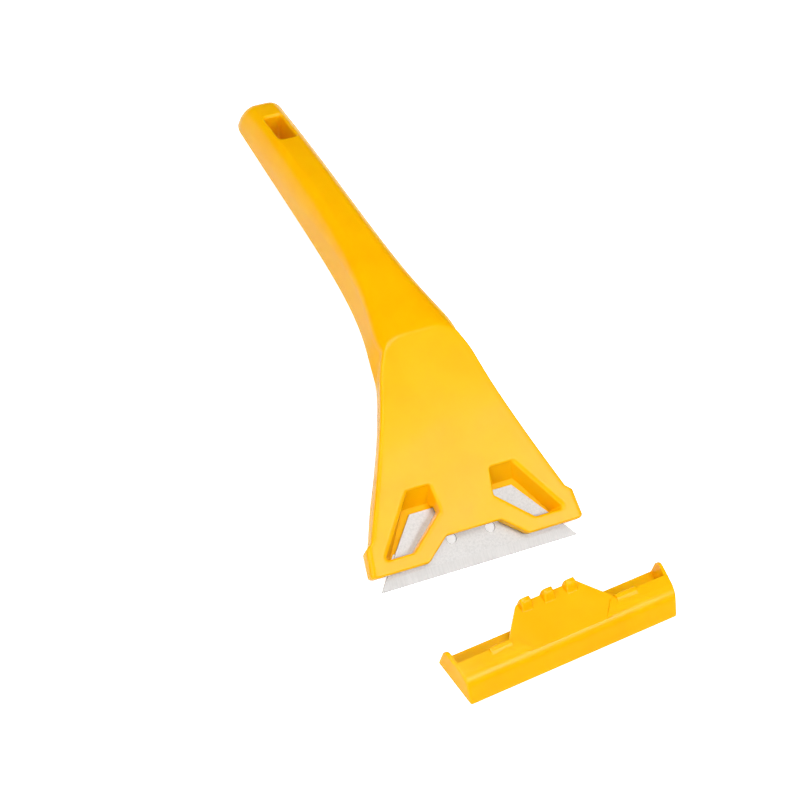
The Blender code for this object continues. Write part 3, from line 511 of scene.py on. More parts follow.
class Body:
    """The body's form as functions of the distance from the cutting edge, or along the handle."""

    def __init__(self, head, handle):
        self.head = head
        self.handle = handle
        self.slope = (head.crease_height - head.lip_height) / (head.crease - head.lip_reach)
        self.crease = np.array([head.crease, head.crease_height])
        self.along, self.out = directions(-math.atan(self.slope))
        self.handle_out = directions(handle.start_angle)[1]
        self.slot_at = handle.length - SLOT_MARGIN

    def face(self, distance):
        """Front face above the blade plane: a straight slope from lip to crease, before it bows."""
        return self.head.lip_height + (distance - self.head.lip_reach) * self.slope

    def head_half(self, distance):
        """Half width of the head: crease half width plus a soft straight flare down to its foot."""
        full = rise(self.head.crease - EAR_TOP, FLARE_SOFTNESS)
        flare = rise(self.head.crease - distance, FLARE_SOFTNESS) / full
        return self.head.crease_half + (self.head.foot_half - self.head.crease_half) * flare

    def plan_half(self, distance):
        """Half width of the head with its ears, whose corners are rounded in plan."""
        ear = self.head.ear_half
        before = 0.01
        corners = [(-before, ear - EAR_CORNER - before), (self.head.lip_reach + EAR_CORNER, ear),
                   (EAR_SHOULDER, ear - EAR_LEAN), (EAR_TOP, self.head_half(EAR_TOP)),
                   (EAR_PLAN_END, self.head_half(EAR_PLAN_END))]
        plan = path_points(corners, EAR_RADII, 10)
        near = np.interp(distance, plan[:, 0], plan[:, 1])
        return np.where(distance < EAR_END, near, self.head_half(distance))

    def draft(self, distance):
        """How much the head's sides lean out towards the back: none at the crease and at the ears."""
        inside = np.minimum(self.head.crease - distance, distance - EAR_TOP)
        return DRAFT_SHARE * np.clip(inside / DRAFT_BLEND, 0, 1)

    def corner_loss(self, reach):
        """How far the front's edges draw in beside the crease: exp(-reach / 4 mm) to both sides."""
        return CORNER_LOSS * np.exp(-rise(reach, CORNER_SOFTNESS) / CORNER_LENGTH)

    def angle(self, s):
        """Lean of the handle, which grows evenly from crease to tip."""
        return self.handle.start_angle + (self.handle.tip_angle - self.handle.start_angle) * s / self.handle.length

    def front(self, s):
        """Front line of the handle: crease + R (sin a - sin a0, cos a - cos a0), an arc."""
        a = self.angle(s)
        a0 = self.handle.start_angle
        radius = self.handle.length / (self.handle.tip_angle - a0)
        return self.crease + radius * np.stack([np.sin(a) - math.sin(a0), np.cos(a) - math.cos(a0)], -1)

    def normal(self, s):
        """Direction out of the handle's front: (sin a, cos a)."""
        return directions(self.angle(s))[1]

    def tip_share(self, s):
        """Zero along the handle and one at the end of the tip's rounding."""
        return np.clip((s - (self.handle.length - TIP_RADIUS)) / TIP_RADIUS, 0, 1)

    def tip_drop(self, s):
        """Quarter circle of the tip's rounding, from zero to one."""
        return 1 - np.sqrt(1 - self.tip_share(s) ** 2)

    def half(self, s, tip_radius=TIP_RADIUS):
        """Half width of the handle: an even taper plus a flare that dies away as exp(-s / 24 mm)."""
        h = self.handle
        grip = h.half_width + (h.tip_half_width - h.half_width) * s / h.length
        flare = (self.head.crease_half - h.half_width) * np.exp(-rise(s, FLARE_START_SOFTNESS) / FLARE_FADE)
        return grip + flare - tip_radius * self.tip_drop(s)

    def flat(self, s):
        """Half width of the flat along the handle's front."""
        flat = GRIP_FLAT + (CROWN_FLAT - GRIP_FLAT) * np.exp(-s / FLAT_FADE)
        return flat * self.half(s) / (self.half(s) + TIP_RADIUS * self.tip_share(s))

    def thickness(self, s):
        """Thickness of the handle: a parabola from the crease over the palm swell to the tip."""
        share = np.minimum(s / self.handle.length, 1)
        ends = HANDLE_THICKNESS_AT_CREASE * (1 - share) + self.handle.tip_thickness * share
        swell = self.handle.thickness - (HANDLE_THICKNESS_AT_CREASE + self.handle.tip_thickness) / 2
        return ends + swell * 4 * share * (1 - share)

    def shoulder(self, s):
        """Depth over which the handle's shoulders turn from its front into its sides."""
        depth = GRIP_DEPTH + (CROWN_DEPTH - GRIP_DEPTH) * np.exp(-s / DEPTH_FADE)
        return np.minimum(depth, self.thickness(s) - 2 * HEEL_RADIUS)

    def softening(self, s):
        """Zero where the crown meets the walls in an edge and one where they round into each other."""
        t = np.clip((s - CREST_FADE_START) / CREST_FADE_LENGTH, 0, 1)
        return t * t * (3 - 2 * t)

    def back(self, s):
        """Back line of the handle: its front less its thickness."""
        return self.front(s) - self.normal(s) * self.thickness(s)[..., None]

    def back_bend(self):
        """The cubic curve from the head's back to the handle's, and the half width along it, as arrays.

        p = (2t^3 - 3t^2 + 1) p0 + (t^3 - 2t^2 + t) m0 + (3t^2 - 2t^3) p1 + (t^3 - t^2) m1, where m is the
        direction at each end times the distance between them. The half width starts level.
        """
        step = 0.0005
        first = np.array([*BACK_BEND_START, self.head.crease_half])
        near, last = (np.array([*self.back(np.array(s)), self.half(s)]) for s in (BACK_LAG - step, BACK_LAG))
        reach = np.linalg.norm(last[:2] - first[:2])
        rising = np.array([*unit(first[:2] - np.array([FLOOR_END, BACK_HEIGHT])), 0.0]) * reach
        ahead = (last - near) / np.linalg.norm((last - near)[:2]) * reach
        t = np.linspace(0, 1, BEND_ROWS)[:, None]
        return ((2 * t ** 3 - 3 * t ** 2 + 1) * first + (t ** 3 - 2 * t ** 2 + t) * rising
                + (3 * t ** 2 - 2 * t ** 3) * last + (t ** 3 - t ** 2) * ahead)

    def back_height(self, distance):
        """Back of the head in side view: chamfered under the lip, flat under the blade, then rising."""
        places = [self.head.lip_reach, EAR_UNDERSIDE, FLOOR_END, BACK_BEND_START[0]]
        heights = [-SEAT - LIP_BACK_DROP, BACK_HEIGHT, BACK_HEIGHT, BACK_BEND_START[1]]
        return np.interp(distance, places, heights)

    def head_base(self, distance):
        """Half width of the head at its back: the plan's, and the side's draft over the depth below the crown."""
        sunk = np.clip((self.head.crease - distance) * (math.tan(self.handle.start_angle) + self.slope)
                       / CROWN_DEPTH, 0, 1)
        shoulder = np.maximum(CROWN_DEPTH * (1 - sunk), self.head.edge_radius)
        depth = self.face(distance) - self.back_height(distance)
        return self.plan_half(distance) + self.draft(distance) * np.maximum(depth - shoulder, 0)


def head_stations(body):
    """Stations from the lip to just below the crease: front, back, half widths, inset, reach past the crease.

    The lip's rounding is a quarter circle in steps of equal angle, which moves the whole section in.
    """
    head = body.head
    turn = np.linspace(0, TURN, LIP_ROWS)
    lips = head.lip_reach + head.lip_radius * (1 - np.cos(turn))
    last = head.crease - BEND_BEFORE
    distance = np.concatenate([lips, np.linspace(lips[-1], EAR_ROWS_END, EAR_ROWS)[1:],
                               np.linspace(EAR_ROWS_END, last - CREASE_ROWS_LENGTH, HEAD_ROWS)[1:],
                               np.linspace(last - CREASE_ROWS_LENGTH, last, CREASE_ROWS)[1:-1]])
    inset = np.zeros(len(distance))
    inset[:len(turn)] = head.lip_radius * (1 - np.sin(turn))
    paired = head.lip_reach + (PAIRED_ROWS_END - head.lip_reach) * BACK_PAIRING
    back_at = np.interp(distance, [head.lip_reach, PAIRED_ROWS_END, last],
                        [head.lip_reach, paired, BACK_BEND_START[0]])
    base_at = head.lip_reach + (back_at - head.lip_reach) / BACK_PAIRING
    front = np.stack([distance, body.face(distance)], -1)
    back = np.stack([back_at, body.back_height(back_at)], -1)
    half = body.plan_half(distance) - body.corner_loss(head.crease - distance) - inset
    half = half - WALL_DRAFT * np.exp(-((head.crease - distance) / WALL_BLEND) ** 2)
    base = body.head_base(np.minimum(base_at, head.crease)) - inset
    return front, back, half, base, inset, -np.linalg.norm(front - body.crease, axis=-1)


def bend_stations(body):
    """Stations through the crease: the front keeps its corner while the back runs round its bend."""
    backs = body.back_bend()
    reach = np.linspace(-BEND_BEFORE, BEND_AFTER, len(backs))
    s = np.maximum(reach, 0)
    front = np.where(reach[:, None] < 0, body.crease + body.along * reach[:, None], body.front(s))
    half = np.where(reach < 0, body.head_half(front[:, 0]), body.half(s)) - body.corner_loss(reach)
    half = half - WALL_DRAFT * np.exp(-(np.minimum(reach, 0) / WALL_BLEND) ** 2)
    return front, backs[:, :2], half, backs[:, 2], 0 * s, reach


def handle_stations(body):
    """Stations up the handle and over its tip, whose front drops and whose back leans out behind it."""
    straight = body.handle.length - TIP_RADIUS
    s = np.concatenate([np.linspace(BEND_AFTER, LAG_FADE, LAG_ROWS)[1:],
                        np.linspace(LAG_FADE, straight, GRIP_ROWS)[1:],
                        straight + TIP_RADIUS * np.sin(np.linspace(0, TURN, TIP_ROWS)[1:])])
    front = body.front(s) - body.normal(s) * TIP_FRONT_RADIUS * body.tip_drop(s)[:, None]
    behind = s + (BACK_LAG - BEND_AFTER) * np.maximum(1 - (s - BEND_AFTER) / LAG_FADE, 0)
    back = body.back(behind) + directions(body.handle.tip_angle)[0] * (TIP_LEAN * body.tip_share(s))[:, None]
    half = body.half(s) - WALL_DRAFT * (1 - body.softening(s)) - body.corner_loss(s)
    return front, back, half, body.half(behind, TIP_BACK_RADIUS), 0 * s, s


def body_rings(body):
    """Cross-sections from lip to tip: front, sides drawn out to the base and a rounded heel, as one array.

    Across the front x = flat + (half - flat) cos(a)^p, and the crown's depth there is drop (1 - (-sin a)^p).
    Beside the crease p is 0.8 and the crown meets the walls in an edge. It grows to 1 up the handle, where
    crown and walls round into each other. The crown and the head's face with its rounded edges, which bows
    down by b ((y - c) / r)^2 towards the crease, are two surfaces. At each station t1 and t2 are the ways
    down to them, and the body is what lies below both: t = (t1 + t2 + sqrt((t1 - t2)^2 + k^2)) / 2, which
    draws the crease as a curve with a soft corner. The left half mirrors the right.
    """
    runs = [head_stations(body), bend_stations(body), handle_stations(body)]
    front, back, half, base, inset, reach = [np.concatenate(parts) for parts in zip(*runs)]
    depth = np.linalg.norm(back - front, axis=-1)
    down = (back - front) / depth[:, None]
    past = front - body.crease
    s = np.maximum(reach, 0)
    on_handle = reach >= 0
    flat = np.where(on_handle, body.flat(s), CROWN_FLAT)
    soft = body.softening(s)[:, None]
    crown_drop = CROWN_DROP + (body.shoulder(s)[:, None] - CROWN_DROP) * soft
    crown_drop = np.minimum(crown_drop, (depth - HEEL_RADIUS)[:, None] - WALL_LEAST)
    power = CROWN_POWER + (1 - CROWN_POWER) * soft
    normal = np.where(on_handle[:, None], body.normal(s), body.handle_out)
    a = np.linspace(-TURN, 0, CROWN_COLUMNS)
    x = np.concatenate([flat[:, None] * np.linspace(0, 1, FLAT_COLUMNS)[:-1],
                        flat[:, None] + (half - flat)[:, None] * np.abs(np.cos(a)) ** power], 1)
    crown = np.concatenate([np.zeros((len(s), FLAT_COLUMNS - 1)),
                            crown_drop * (1 - np.abs(np.sin(a)) ** power)], 1)
    r = body.head.edge_radius
    edge = r - np.sqrt(np.maximum(r ** 2 - np.maximum(x - (half[:, None] - r), 0) ** 2, 0))
    edge = edge + FACE_BOW * np.maximum((front[:, :1] - FACE_BOW_CENTRE) / FACE_BOW_REACH, 0) ** 2
    above = np.where(on_handle, 0, np.sum(past * body.handle_out, -1))
    t1 = (crown + above[:, None]) / np.sum(-down * normal, -1)[:, None]
    t2 = (edge + (past @ body.out)[:, None]) / (-down @ body.out)[:, None]
    d = (t1 + t2 + np.sqrt((t1 - t2) ** 2 + CREASE_SOFTNESS ** 2)) / 2
    heel_top = (depth - HEEL_RADIUS)[:, None]
    d = np.minimum(d, heel_top - WALL_LEAST)
    level = np.linspace(0, 1, WALL_COLUMNS)[1:-1]
    b = np.linspace(0, TURN, HEEL_COLUMNS)
    wall = base[:, None]
    x = np.concatenate([x, half[:, None] + (wall - half[:, None]) * level,
                        wall - HEEL_RADIUS + HEEL_RADIUS * np.cos(b),
                        (wall - HEEL_RADIUS) * np.linspace(1, 0, FLAT_COLUMNS)[1:]], 1)
    d = np.concatenate([d, d[:, -1:] + (heel_top - d[:, -1:]) * level, heel_top + HEEL_RADIUS * np.sin(b),
                        depth[:, None] * np.ones(FLAT_COLUMNS - 1)], 1)
    d = d * (1 - 2 * inset / depth)[:, None] + inset[:, None]
    x = np.concatenate([x, -x[:, -2:0:-1]], 1)
    d = np.concatenate([d, d[:, -2:0:-1]], 1)
    return np.stack([x, front[:, :1] + down[:, :1] * d, front[:, 1:] + down[:, 1:] * d], -1)


# Cuts in the body
def slope_of_blade_ends():
    """How much the blade's half length falls for each metre up from the edge."""
    return (BLADE_HALF - BLADE_BACK_HALF) / BLADE_DEPTH


def straight_tool(name, corners, low, high):
    """A plan outline stood up between two heights."""
    plan = np.asarray(corners, float)
    return surface(name, np.array([flat_ring(plan, low), flat_ring(plan, high)]))


def face_tool(name, body, corners, radii, rim, foot, foot_radii, foot_height, weights=1.0):
    """A cut into the head's face: a rounded rim, then walls from the outline to its foot.

    Point (x, y) of a rim level lies at z = face(y) - depth, and the last ring lies flat at the foot's height.
    The weights say how far the rim reaches out on each side, in rim widths.
    """
    rings = []
    for out, depth in rim_levels(rim):
        plan = outline(corners, radii, np.asarray(weights) * out)
        rings.append(np.column_stack([plan, body.face(plan[:, 1]) - depth]))
    rings.append(flat_ring(outline(foot, foot_radii), foot_height))
    return surface(name, np.array(rings))


def window_tool(body, side):
    """One five-sided window through the face down to the floor under the blade."""
    (near, top), *inner = WINDOW_INNER
    low = inner[-1][1]
    end = BLADE_HALF - low * slope_of_blade_ends()
    corners, foot = (np.array([(near, height), *inner, (end + at_toe, low), (BLADE_BACK_HALF + at_top, height)])
                     for height, (at_toe, at_top) in ((top, WINDOW_OUTER), (WINDOW_FOOT_TOP, WINDOW_FOOT_OUTER)))
    shares, radii = np.array(WINDOW_RIM_SHARES), np.array(WINDOW_RADII)
    if side < 0:
        order = [0, 4, 3, 2, 1]
        corners, foot, radii = corners[order] * (-1, 1), foot[order] * (-1, 1), radii[order]
        shares = shares[::-1]
    name = "cut window right" if side > 0 else "cut window left"
    foot_radii = [WINDOW_FOOT_RADIUS] * len(foot)
    return face_tool(name, body, corners, radii, body.head.rim, foot, foot_radii, -SEAT, shares)


def recess_tool(body):
    """The recess in the middle of the lip, with rounded toes, upper corners and rim."""
    corners = mirrored_plan(RECESS_SIDE)
    return face_tool("cut recess", body, corners, RECESS_RADII, RECESS_RIM, corners, RECESS_RADII, 0.0)


def blade_slot_tools():
    """The slot that the blade slides into, and the open underside in front of the floor with its notch."""
    slope = slope_of_blade_ends()
    gap = RUNNING_GAP * math.hypot(1, slope)

    def half(y):
        return BLADE_HALF + gap - y * slope

    front, back = CUT_AHEAD, BLADE_DEPTH + RUNNING_GAP
    slot = mirrored_plan([(half(front), front), (half(back), back)])
    right = [(half(front), front), (half(FLOOR_FRONT), FLOOR_FRONT), (NOTCH_HALF, FLOOR_FRONT),
             (NOTCH_HALF, NOTCH_BACK)]
    opening = right + [(-x, y) for x, y in right[::-1]]
    return [straight_tool("cut blade slot", slot, -SEAT, SEAT),
            straight_tool("cut floor opening", opening, BACK_HEIGHT - CUT_BELOW, 0.0)]


def handle_frame_point(body, centre, offset, x, depth):
    """Points in the handle's straight directions at one place along it: front + t offset - n depth."""
    angle = float(body.angle(centre))
    along = np.array([math.cos(angle), -math.sin(angle)])
    base = body.front(np.array(centre))
    normal = body.normal(np.array(centre))
    side_view = base + offset[:, None] * along - depth[:, None] * normal
    return np.column_stack([x, side_view])


def hanging_slot_tool(body):
    """The slot through the tip, with rounded rims at the front and at the back."""
    centre = body.slot_at
    a = body.handle.slot_length / 2
    b = body.handle.slot_width / 2
    corners = [(-a, -b), (a, -b), (a, b), (-a, b)]
    thick = float(body.thickness(np.array(centre)))
    levels = rim_levels(SLOT_FRONT_RIM)
    levels += [(out, thick - depth) for out, depth in rim_levels(SLOT_BACK_RIM)[::-1]]
    rings = []
    for out, depth in levels:
        plan = outline(corners, [SLOT_CORNER] * 4, out, 7)
        rings.append(handle_frame_point(body, centre, plan[:, 0], plan[:, 1], np.full(len(plan), depth)))
    return surface("cut hanging slot", np.array(rings))


def core_tools(body):
    """The hollow back: four pockets along the handle and two in the head, with ribs between them.

    A pocket's ring at s is the hexagon (crown, skin), (wall, shoulder depth), (wall, past the back),
    mirrored, and its rim at the back widens by a small chamfer.
    """
    end = body.slot_at - body.handle.slot_length / 2 - SLOT_WALL
    span = (end - CORE_START + RIB) / CORE_COUNT
    tools = []
    for n in range(CORE_COUNT):
        start = CORE_START + n * span
        s = np.linspace(start, start + span - RIB, 12)
        half = body.half(s) - CORE_WALL
        crown = np.minimum(body.flat(s), half)
        thick = body.thickness(s)
        x = np.stack([crown, half, half, half + CHAMFER_WIDTH], -1)
        depth = np.stack([np.full(len(s), CORE_SKIN), body.shoulder(s),
                          thick - CHAMFER_DEPTH, thick + CORE_PAST], -1)
        x = np.concatenate([x, -x[:, ::-1]], 1)
        depth = np.concatenate([depth, depth[:, ::-1]], 1)
        at = body.front(s)[:, None] - body.normal(s)[:, None] * depth[..., None]
        tools.append(surface(f"cut handle core {n + 1}", np.concatenate([x[..., None], at], -1)))
    y = np.linspace(*HEAD_CORE_ENDS, 12)
    half = body.head_half(y) - CORE_WALL
    step = half + RIB / 2
    for n in range(2):
        left = -half + n * step
        right = left + step - RIB
        top = body.face(y) - CORE_SKIN
        low = np.full(len(y), BACK_HEIGHT - CUT_BELOW)
        x = np.stack([left, right, right, left], -1)
        z = np.stack([top, top, low, low], -1)
        tools.append(surface(f"cut head core {n + 1}", np.stack([x, y[:, None] + 0 * x, z], -1)))
    return tools


# Where the pieces lie
def place(target, matrix):
    """Put a piece's place into its mesh, with the object left at the origin."""
    target.data.transform(Matrix(matrix.tolist()))
    target.data.update()


def tool_matrix():
    """The tool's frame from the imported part: the blade's slide gives its lean, the blade's box its place."""
    down = unit(np.array(JOINTS["blade_slide"]["axis"], float))
    cosine, sine = -down[1], -down[2]
    edge = BLADE_EDGE / 2
    low = BLADE_BOX[0]
    middle = (BLADE_BOX[0][0] + BLADE_BOX[1][0]) / 2
    matrix = np.eye(4)
    matrix[:3, :3] = [[1, 0, 0], [0, cosine, -sine], [0, sine, cosine]]
    matrix[:3, 3] = [middle, low[1] + edge * sine, low[2] + edge * cosine]
    return matrix


def guard_matrix(points):
    """The guard's frame: turned as its slide says, its box's middle on the CAD guard's, and on the floor."""
    nose = unit(np.array(JOINTS["guard_slide"]["axis"], float))
    turn = np.array([[-nose[1], -nose[0], 0], [nose[0], -nose[1], 0], [0, 0, 1]])
    turned = points @ turn.T
    matrix = np.eye(4)
    matrix[:3, :3] = turn
    matrix[:2, 3] = ((GUARD_BOX[0] + GUARD_BOX[1]) / 2 - (turned.min(0) + turned.max(0)) / 2)[:2]
    matrix[2, 3] = GUARD_BOX[0][2] - turned[:, 2].min()
    return matrix


# The guard
def guard_corners(wall=0.0):
    """Corners of the guard's cross-section: the nose's foot, the heel below and above, and the shoulder.

    The face climbs from foot to shoulder at 55 degrees. A wall moves it and both panels in, not the heel.
    """
    steep = GUARD_FACE_ANGLE
    heel = GUARD_DEPTH - GUARD_NOSE
    low, high = GUARD_UNDER + wall, GUARD_TOP - wall
    foot = -GUARD_NOSE + wall / math.sin(steep) + wall / math.tan(steep)
    shoulder = -GUARD_NOSE + wall / math.sin(steep) + (high - GUARD_UNDER) / math.tan(steep)
    return np.array([(foot, low), (heel, low), (heel, high), (shoulder, high)])


def guard_half(y):
    """Half length of the guard, wider towards its heel."""
    return GUARD_HALF + GUARD_WIDENING * (y + GUARD_NOSE) / GUARD_DEPTH


def guard_rings(corners, radii, pillow, inset=0.0, steps=10):
    """A cross-section carried along X between the guard's ends, which a pillow p rounds over.

    An end's rings have x = side (half(y) - inset - p (1 - cos a)) and their outline moved in by p (1 - sin a).
    """
    turns = np.linspace(0, TURN, 6) if pillow else np.array([TURN])
    ends = [(1, pillow * (1 - math.cos(t)), pillow * (1 - math.sin(t))) for t in turns]
    rows = [(-side, x_in, shrink) for side, x_in, shrink in ends]
    rows += [(share, 0.0, 0.0) for share in np.linspace(-0.96, 0.96, 33)] if pillow else []
    rows += ends[::-1]
    rings = []
    for side, x_in, shrink in rows:
        plan = outline(corners, radii, -shrink, steps)
        rings.append(np.column_stack([side * (guard_half(plan[:, 0]) - inset - x_in), plan]))
    return np.array(rings)


def make_guard(sizes, material):
    """The guard: hollow wedge, open behind its panel, with end walls, thumb tongue, pads and nubs."""
    outer_radii = [*GUARD_RADII, sizes.shoulder]
    guard = surface("guard_moulding", guard_rings(guard_corners(), outer_radii, GUARD_PILLOW))
    foot, heel, top, shoulder = guard_corners(sizes.wall)
    inner = np.array([foot, (POCKET_BACK, heel[1]), (POCKET_BACK, POCKET_TOP), (GUARD_PANEL, POCKET_TOP),
                      (GUARD_PANEL, top[1]), shoulder])
    inner_radii = [*POCKET_RADII, sizes.shoulder - sizes.wall]
    carve(guard, [surface("cut guard pocket", guard_rings(inner, inner_radii, 0.0, sizes.end_wall))])
    carve(guard, [tongue_tool()], "UNION")
    carve(guard, [thumb_recess_tool()])
    carve(guard, [pad_tool(side) for side in (-1, 1)] + [nub_tool(n, sizes) for n in range(3)], "UNION")
    soften = guard.modifiers.new("moulded edges", "BEVEL")
    soften.width = EDGE_SOFTENING
    soften.segments = 3
    soften.limit_method = "ANGLE"
    soften.angle_limit = math.radians(EDGE_SOFTENING_DEGREES)
    soften.use_clamp_overlap = True
    bake(guard)
    guard.data.materials.append(material)
    return guard


def tongue_tool():
    """The thumb tongue as a tapering plate."""
    root, knee, end = TONGUE_HALVES
    corners = mirrored_plan([(root, GUARD_PANEL - TONGUE_ROOT), (knee, GUARD_PANEL),
                             (end, GUARD_PANEL + TONGUE_LENGTH)])
    plan = outline(corners, TONGUE_RADII, 0.0, 5)
    low, high = GUARD_TOP - TONGUE_DROP - TONGUE_THICKNESS, GUARD_TOP - TONGUE_DROP / 2
    return surface("add tongue", np.array([flat_ring(plan, low), flat_ring(plan, high)]))


def thumb_recess_tool():
    """Levels the tongue and lets the flat in front of it into the shoulder's curve, with walls that lean out."""
    corners = mirrored_plan([(x, GUARD_PANEL + y) for x, y in THUMB_SIDE])
    level = GUARD_TOP - TONGUE_DROP
    (low_out, low_rise), (top_out, top_rise) = THUMB_WALL
    rings = [flat_ring(outline(corners, THUMB_RADII, out, 5), height)
             for out, height in ((0.0, level), (low_out, level + low_rise), (top_out, GUARD_TOP + top_rise))]
    return surface("cut thumb recess", np.array(rings))


def pad_tool(side):
    """A low rounded pad on the panel's rear edge beside the tongue, drawn in at its outer end."""
    section = outline([(GUARD_PANEL + y, GUARD_TOP + z) for y, z in PAD_SECTION], PAD_RADII, 0.0, 6)
    middle = section.mean(0)
    rings = [np.column_stack([np.full(len(section), at), middle + (section - middle) * (1 - s / PAD_HALF_SECTION)])
             for at, s in zip(side * np.array(PAD_ENDS), PAD_SHRINK)]
    return surface("add pad right" if side > 0 else "add pad left", np.array(rings))


def nub_tool(index, sizes):
    """One grip nub, whose crest z(y) is level at the rear and eases down to the front as a cosine.

    Across it runs a full rounded bow: x = w/2 sign(cos a) |cos a|^0.4, height sin(a)^0.4.
    """
    centre = (index - 1) * sizes.nub_pitch
    v = np.linspace(0, 1, 16)[:, None]
    y = GUARD_PANEL + TONGUE_LENGTH + NUB_OVERHANG - NUB_LENGTH * v
    fall = np.clip((v - NUB_LEVEL_SHARE) / (1 - NUB_LEVEL_SHARE), 0, 1)
    height = np.where(v < NUB_LEVEL_SHARE, 1.0, 0.5 + 0.5 * np.cos(np.pi * fall))
    height = NUB_TOE_HEIGHT + (sizes.nub_height + NUB_SUNK - NUB_TOE_HEIGHT) * height
    a = np.linspace(0, np.pi, 21)
    across = NUB_WIDTH / 2 * np.sign(np.cos(a)) * np.abs(np.cos(a)) ** NUB_POWER
    z = GUARD_TOP - TONGUE_DROP - NUB_SUNK + height * np.sin(a) ** NUB_POWER
    return surface(f"add nub {index + 1}", np.stack([centre + across + 0 * y, y + 0 * across, z], -1))


# Materials
def linear(text):
    """An sRGB hex value as linear RGBA."""
    values = np.array([int(text[n:n + 2], 16) for n in (1, 3, 5)]) / 255
    values = np.where(values <= 0.04045, values / 12.92, ((values + 0.055) / 1.055) ** 2.4)
    return (*[float(v) for v in values], 1.0)


def node(tree, kind, inputs=None, links=None, **settings):
    """Add one shader node with its settings, socket values and incoming links."""
    made = tree.nodes.new(kind)
    for key, value in settings.items():
        setattr(made, key, value)
    for key, value in (inputs or {}).items():
        made.inputs[key].default_value = value
    for key, (source, socket) in (links or {}).items():
        tree.links.new(source.outputs[socket], made.inputs[key])
    return made


def blank_material(name):
    """A material and its node tree, which is still empty."""
    material = bpy.data.materials.new(name)
    material.use_nodes = True
    tree = material.node_tree
    tree.nodes.clear()
    return material, tree


def ramp(tree, source, socket, stops):
    """A colour ramp with its stops as pairs of place and colour."""
    made = node(tree, "ShaderNodeValToRGB", links={"Fac": (source, socket)})
    points = made.color_ramp.elements
    while len(points) < len(stops):
        points.new(0.5)
    for point, (at, colour) in zip(points, stops):
        point.position = at
        point.color = colour
    return made


def polypropylene(colours):
    """Injection-moulded polypropylene: yellow masterbatch in a fine spark-eroded mould.

    It gives an even, saturated yellow with a soft sheen, and light goes about 3 mm into it, the red furthest,
    which fills thin walls and soft shadows with warm colour. Flow clouds are about 15 mm across, the skin
    sinks in soft waves about 18 mm long, and the mould's texture of about 0.3 mm is drawn at 0.5 mm so that
    it shows.
    """
    material, tree = blank_material("moulded yellow polypropylene")
    coords = node(tree, "ShaderNodeTexCoord")
    clouds = node(tree, "ShaderNodeTexNoise", {"Scale": 1 / CLOUDS, "Detail": 3.0, "Roughness": 0.55},
                  {"Vector": (coords, "Object")})
    colour = ramp(tree, clouds, "Fac", [(0.30, linear(colours.plastic_deep)), (0.62, linear(colours.plastic))])
    sink = node(tree, "ShaderNodeTexNoise", {"Scale": 1 / SINK_LENGTH, "Detail": 1.0},
                {"Vector": (coords, "Object")})
    waves = node(tree, "ShaderNodeBump", {"Strength": 1.0, "Distance": SINK_DEPTH}, {"Height": (sink, "Fac")})
    skin = node(tree, "ShaderNodeTexNoise", {"Scale": 1 / MOULD_TEXTURE, "Detail": 2.0, "Roughness": 0.6},
                {"Vector": (coords, "Object")})
    relief = node(tree, "ShaderNodeBump", {"Strength": 0.08, "Distance": MOULD_TEXTURE_DEPTH},
                  {"Height": (skin, "Fac"), "Normal": (waves, "Normal")})
    gloss = node(tree, "ShaderNodeMapRange",
                 {"From Min": 0.25, "From Max": 0.75, "To Min": colours.plastic_roughness - PLASTIC_GLOSS_SPREAD,
                  "To Max": colours.plastic_roughness + PLASTIC_GLOSS_SPREAD}, {"Value": (clouds, "Fac")})
    shader = node(tree, "ShaderNodeBsdfPrincipled",
                  {"Specular IOR Level": PLASTIC_SPECULAR, "IOR": PLASTIC_IOR,
                   "Subsurface Weight": PLASTIC_SCATTER, "Subsurface Radius": PLASTIC_SCATTER_COLOUR,
                   "Subsurface Scale": PLASTIC_SCATTER_DEPTH},
                  {"Base Color": (colour, "Color"), "Roughness": (gloss, "Result"), "Normal": (relief, "Normal")})
    node(tree, "ShaderNodeOutputMaterial", links={"Surface": (shader, "BSDF")})
    return material


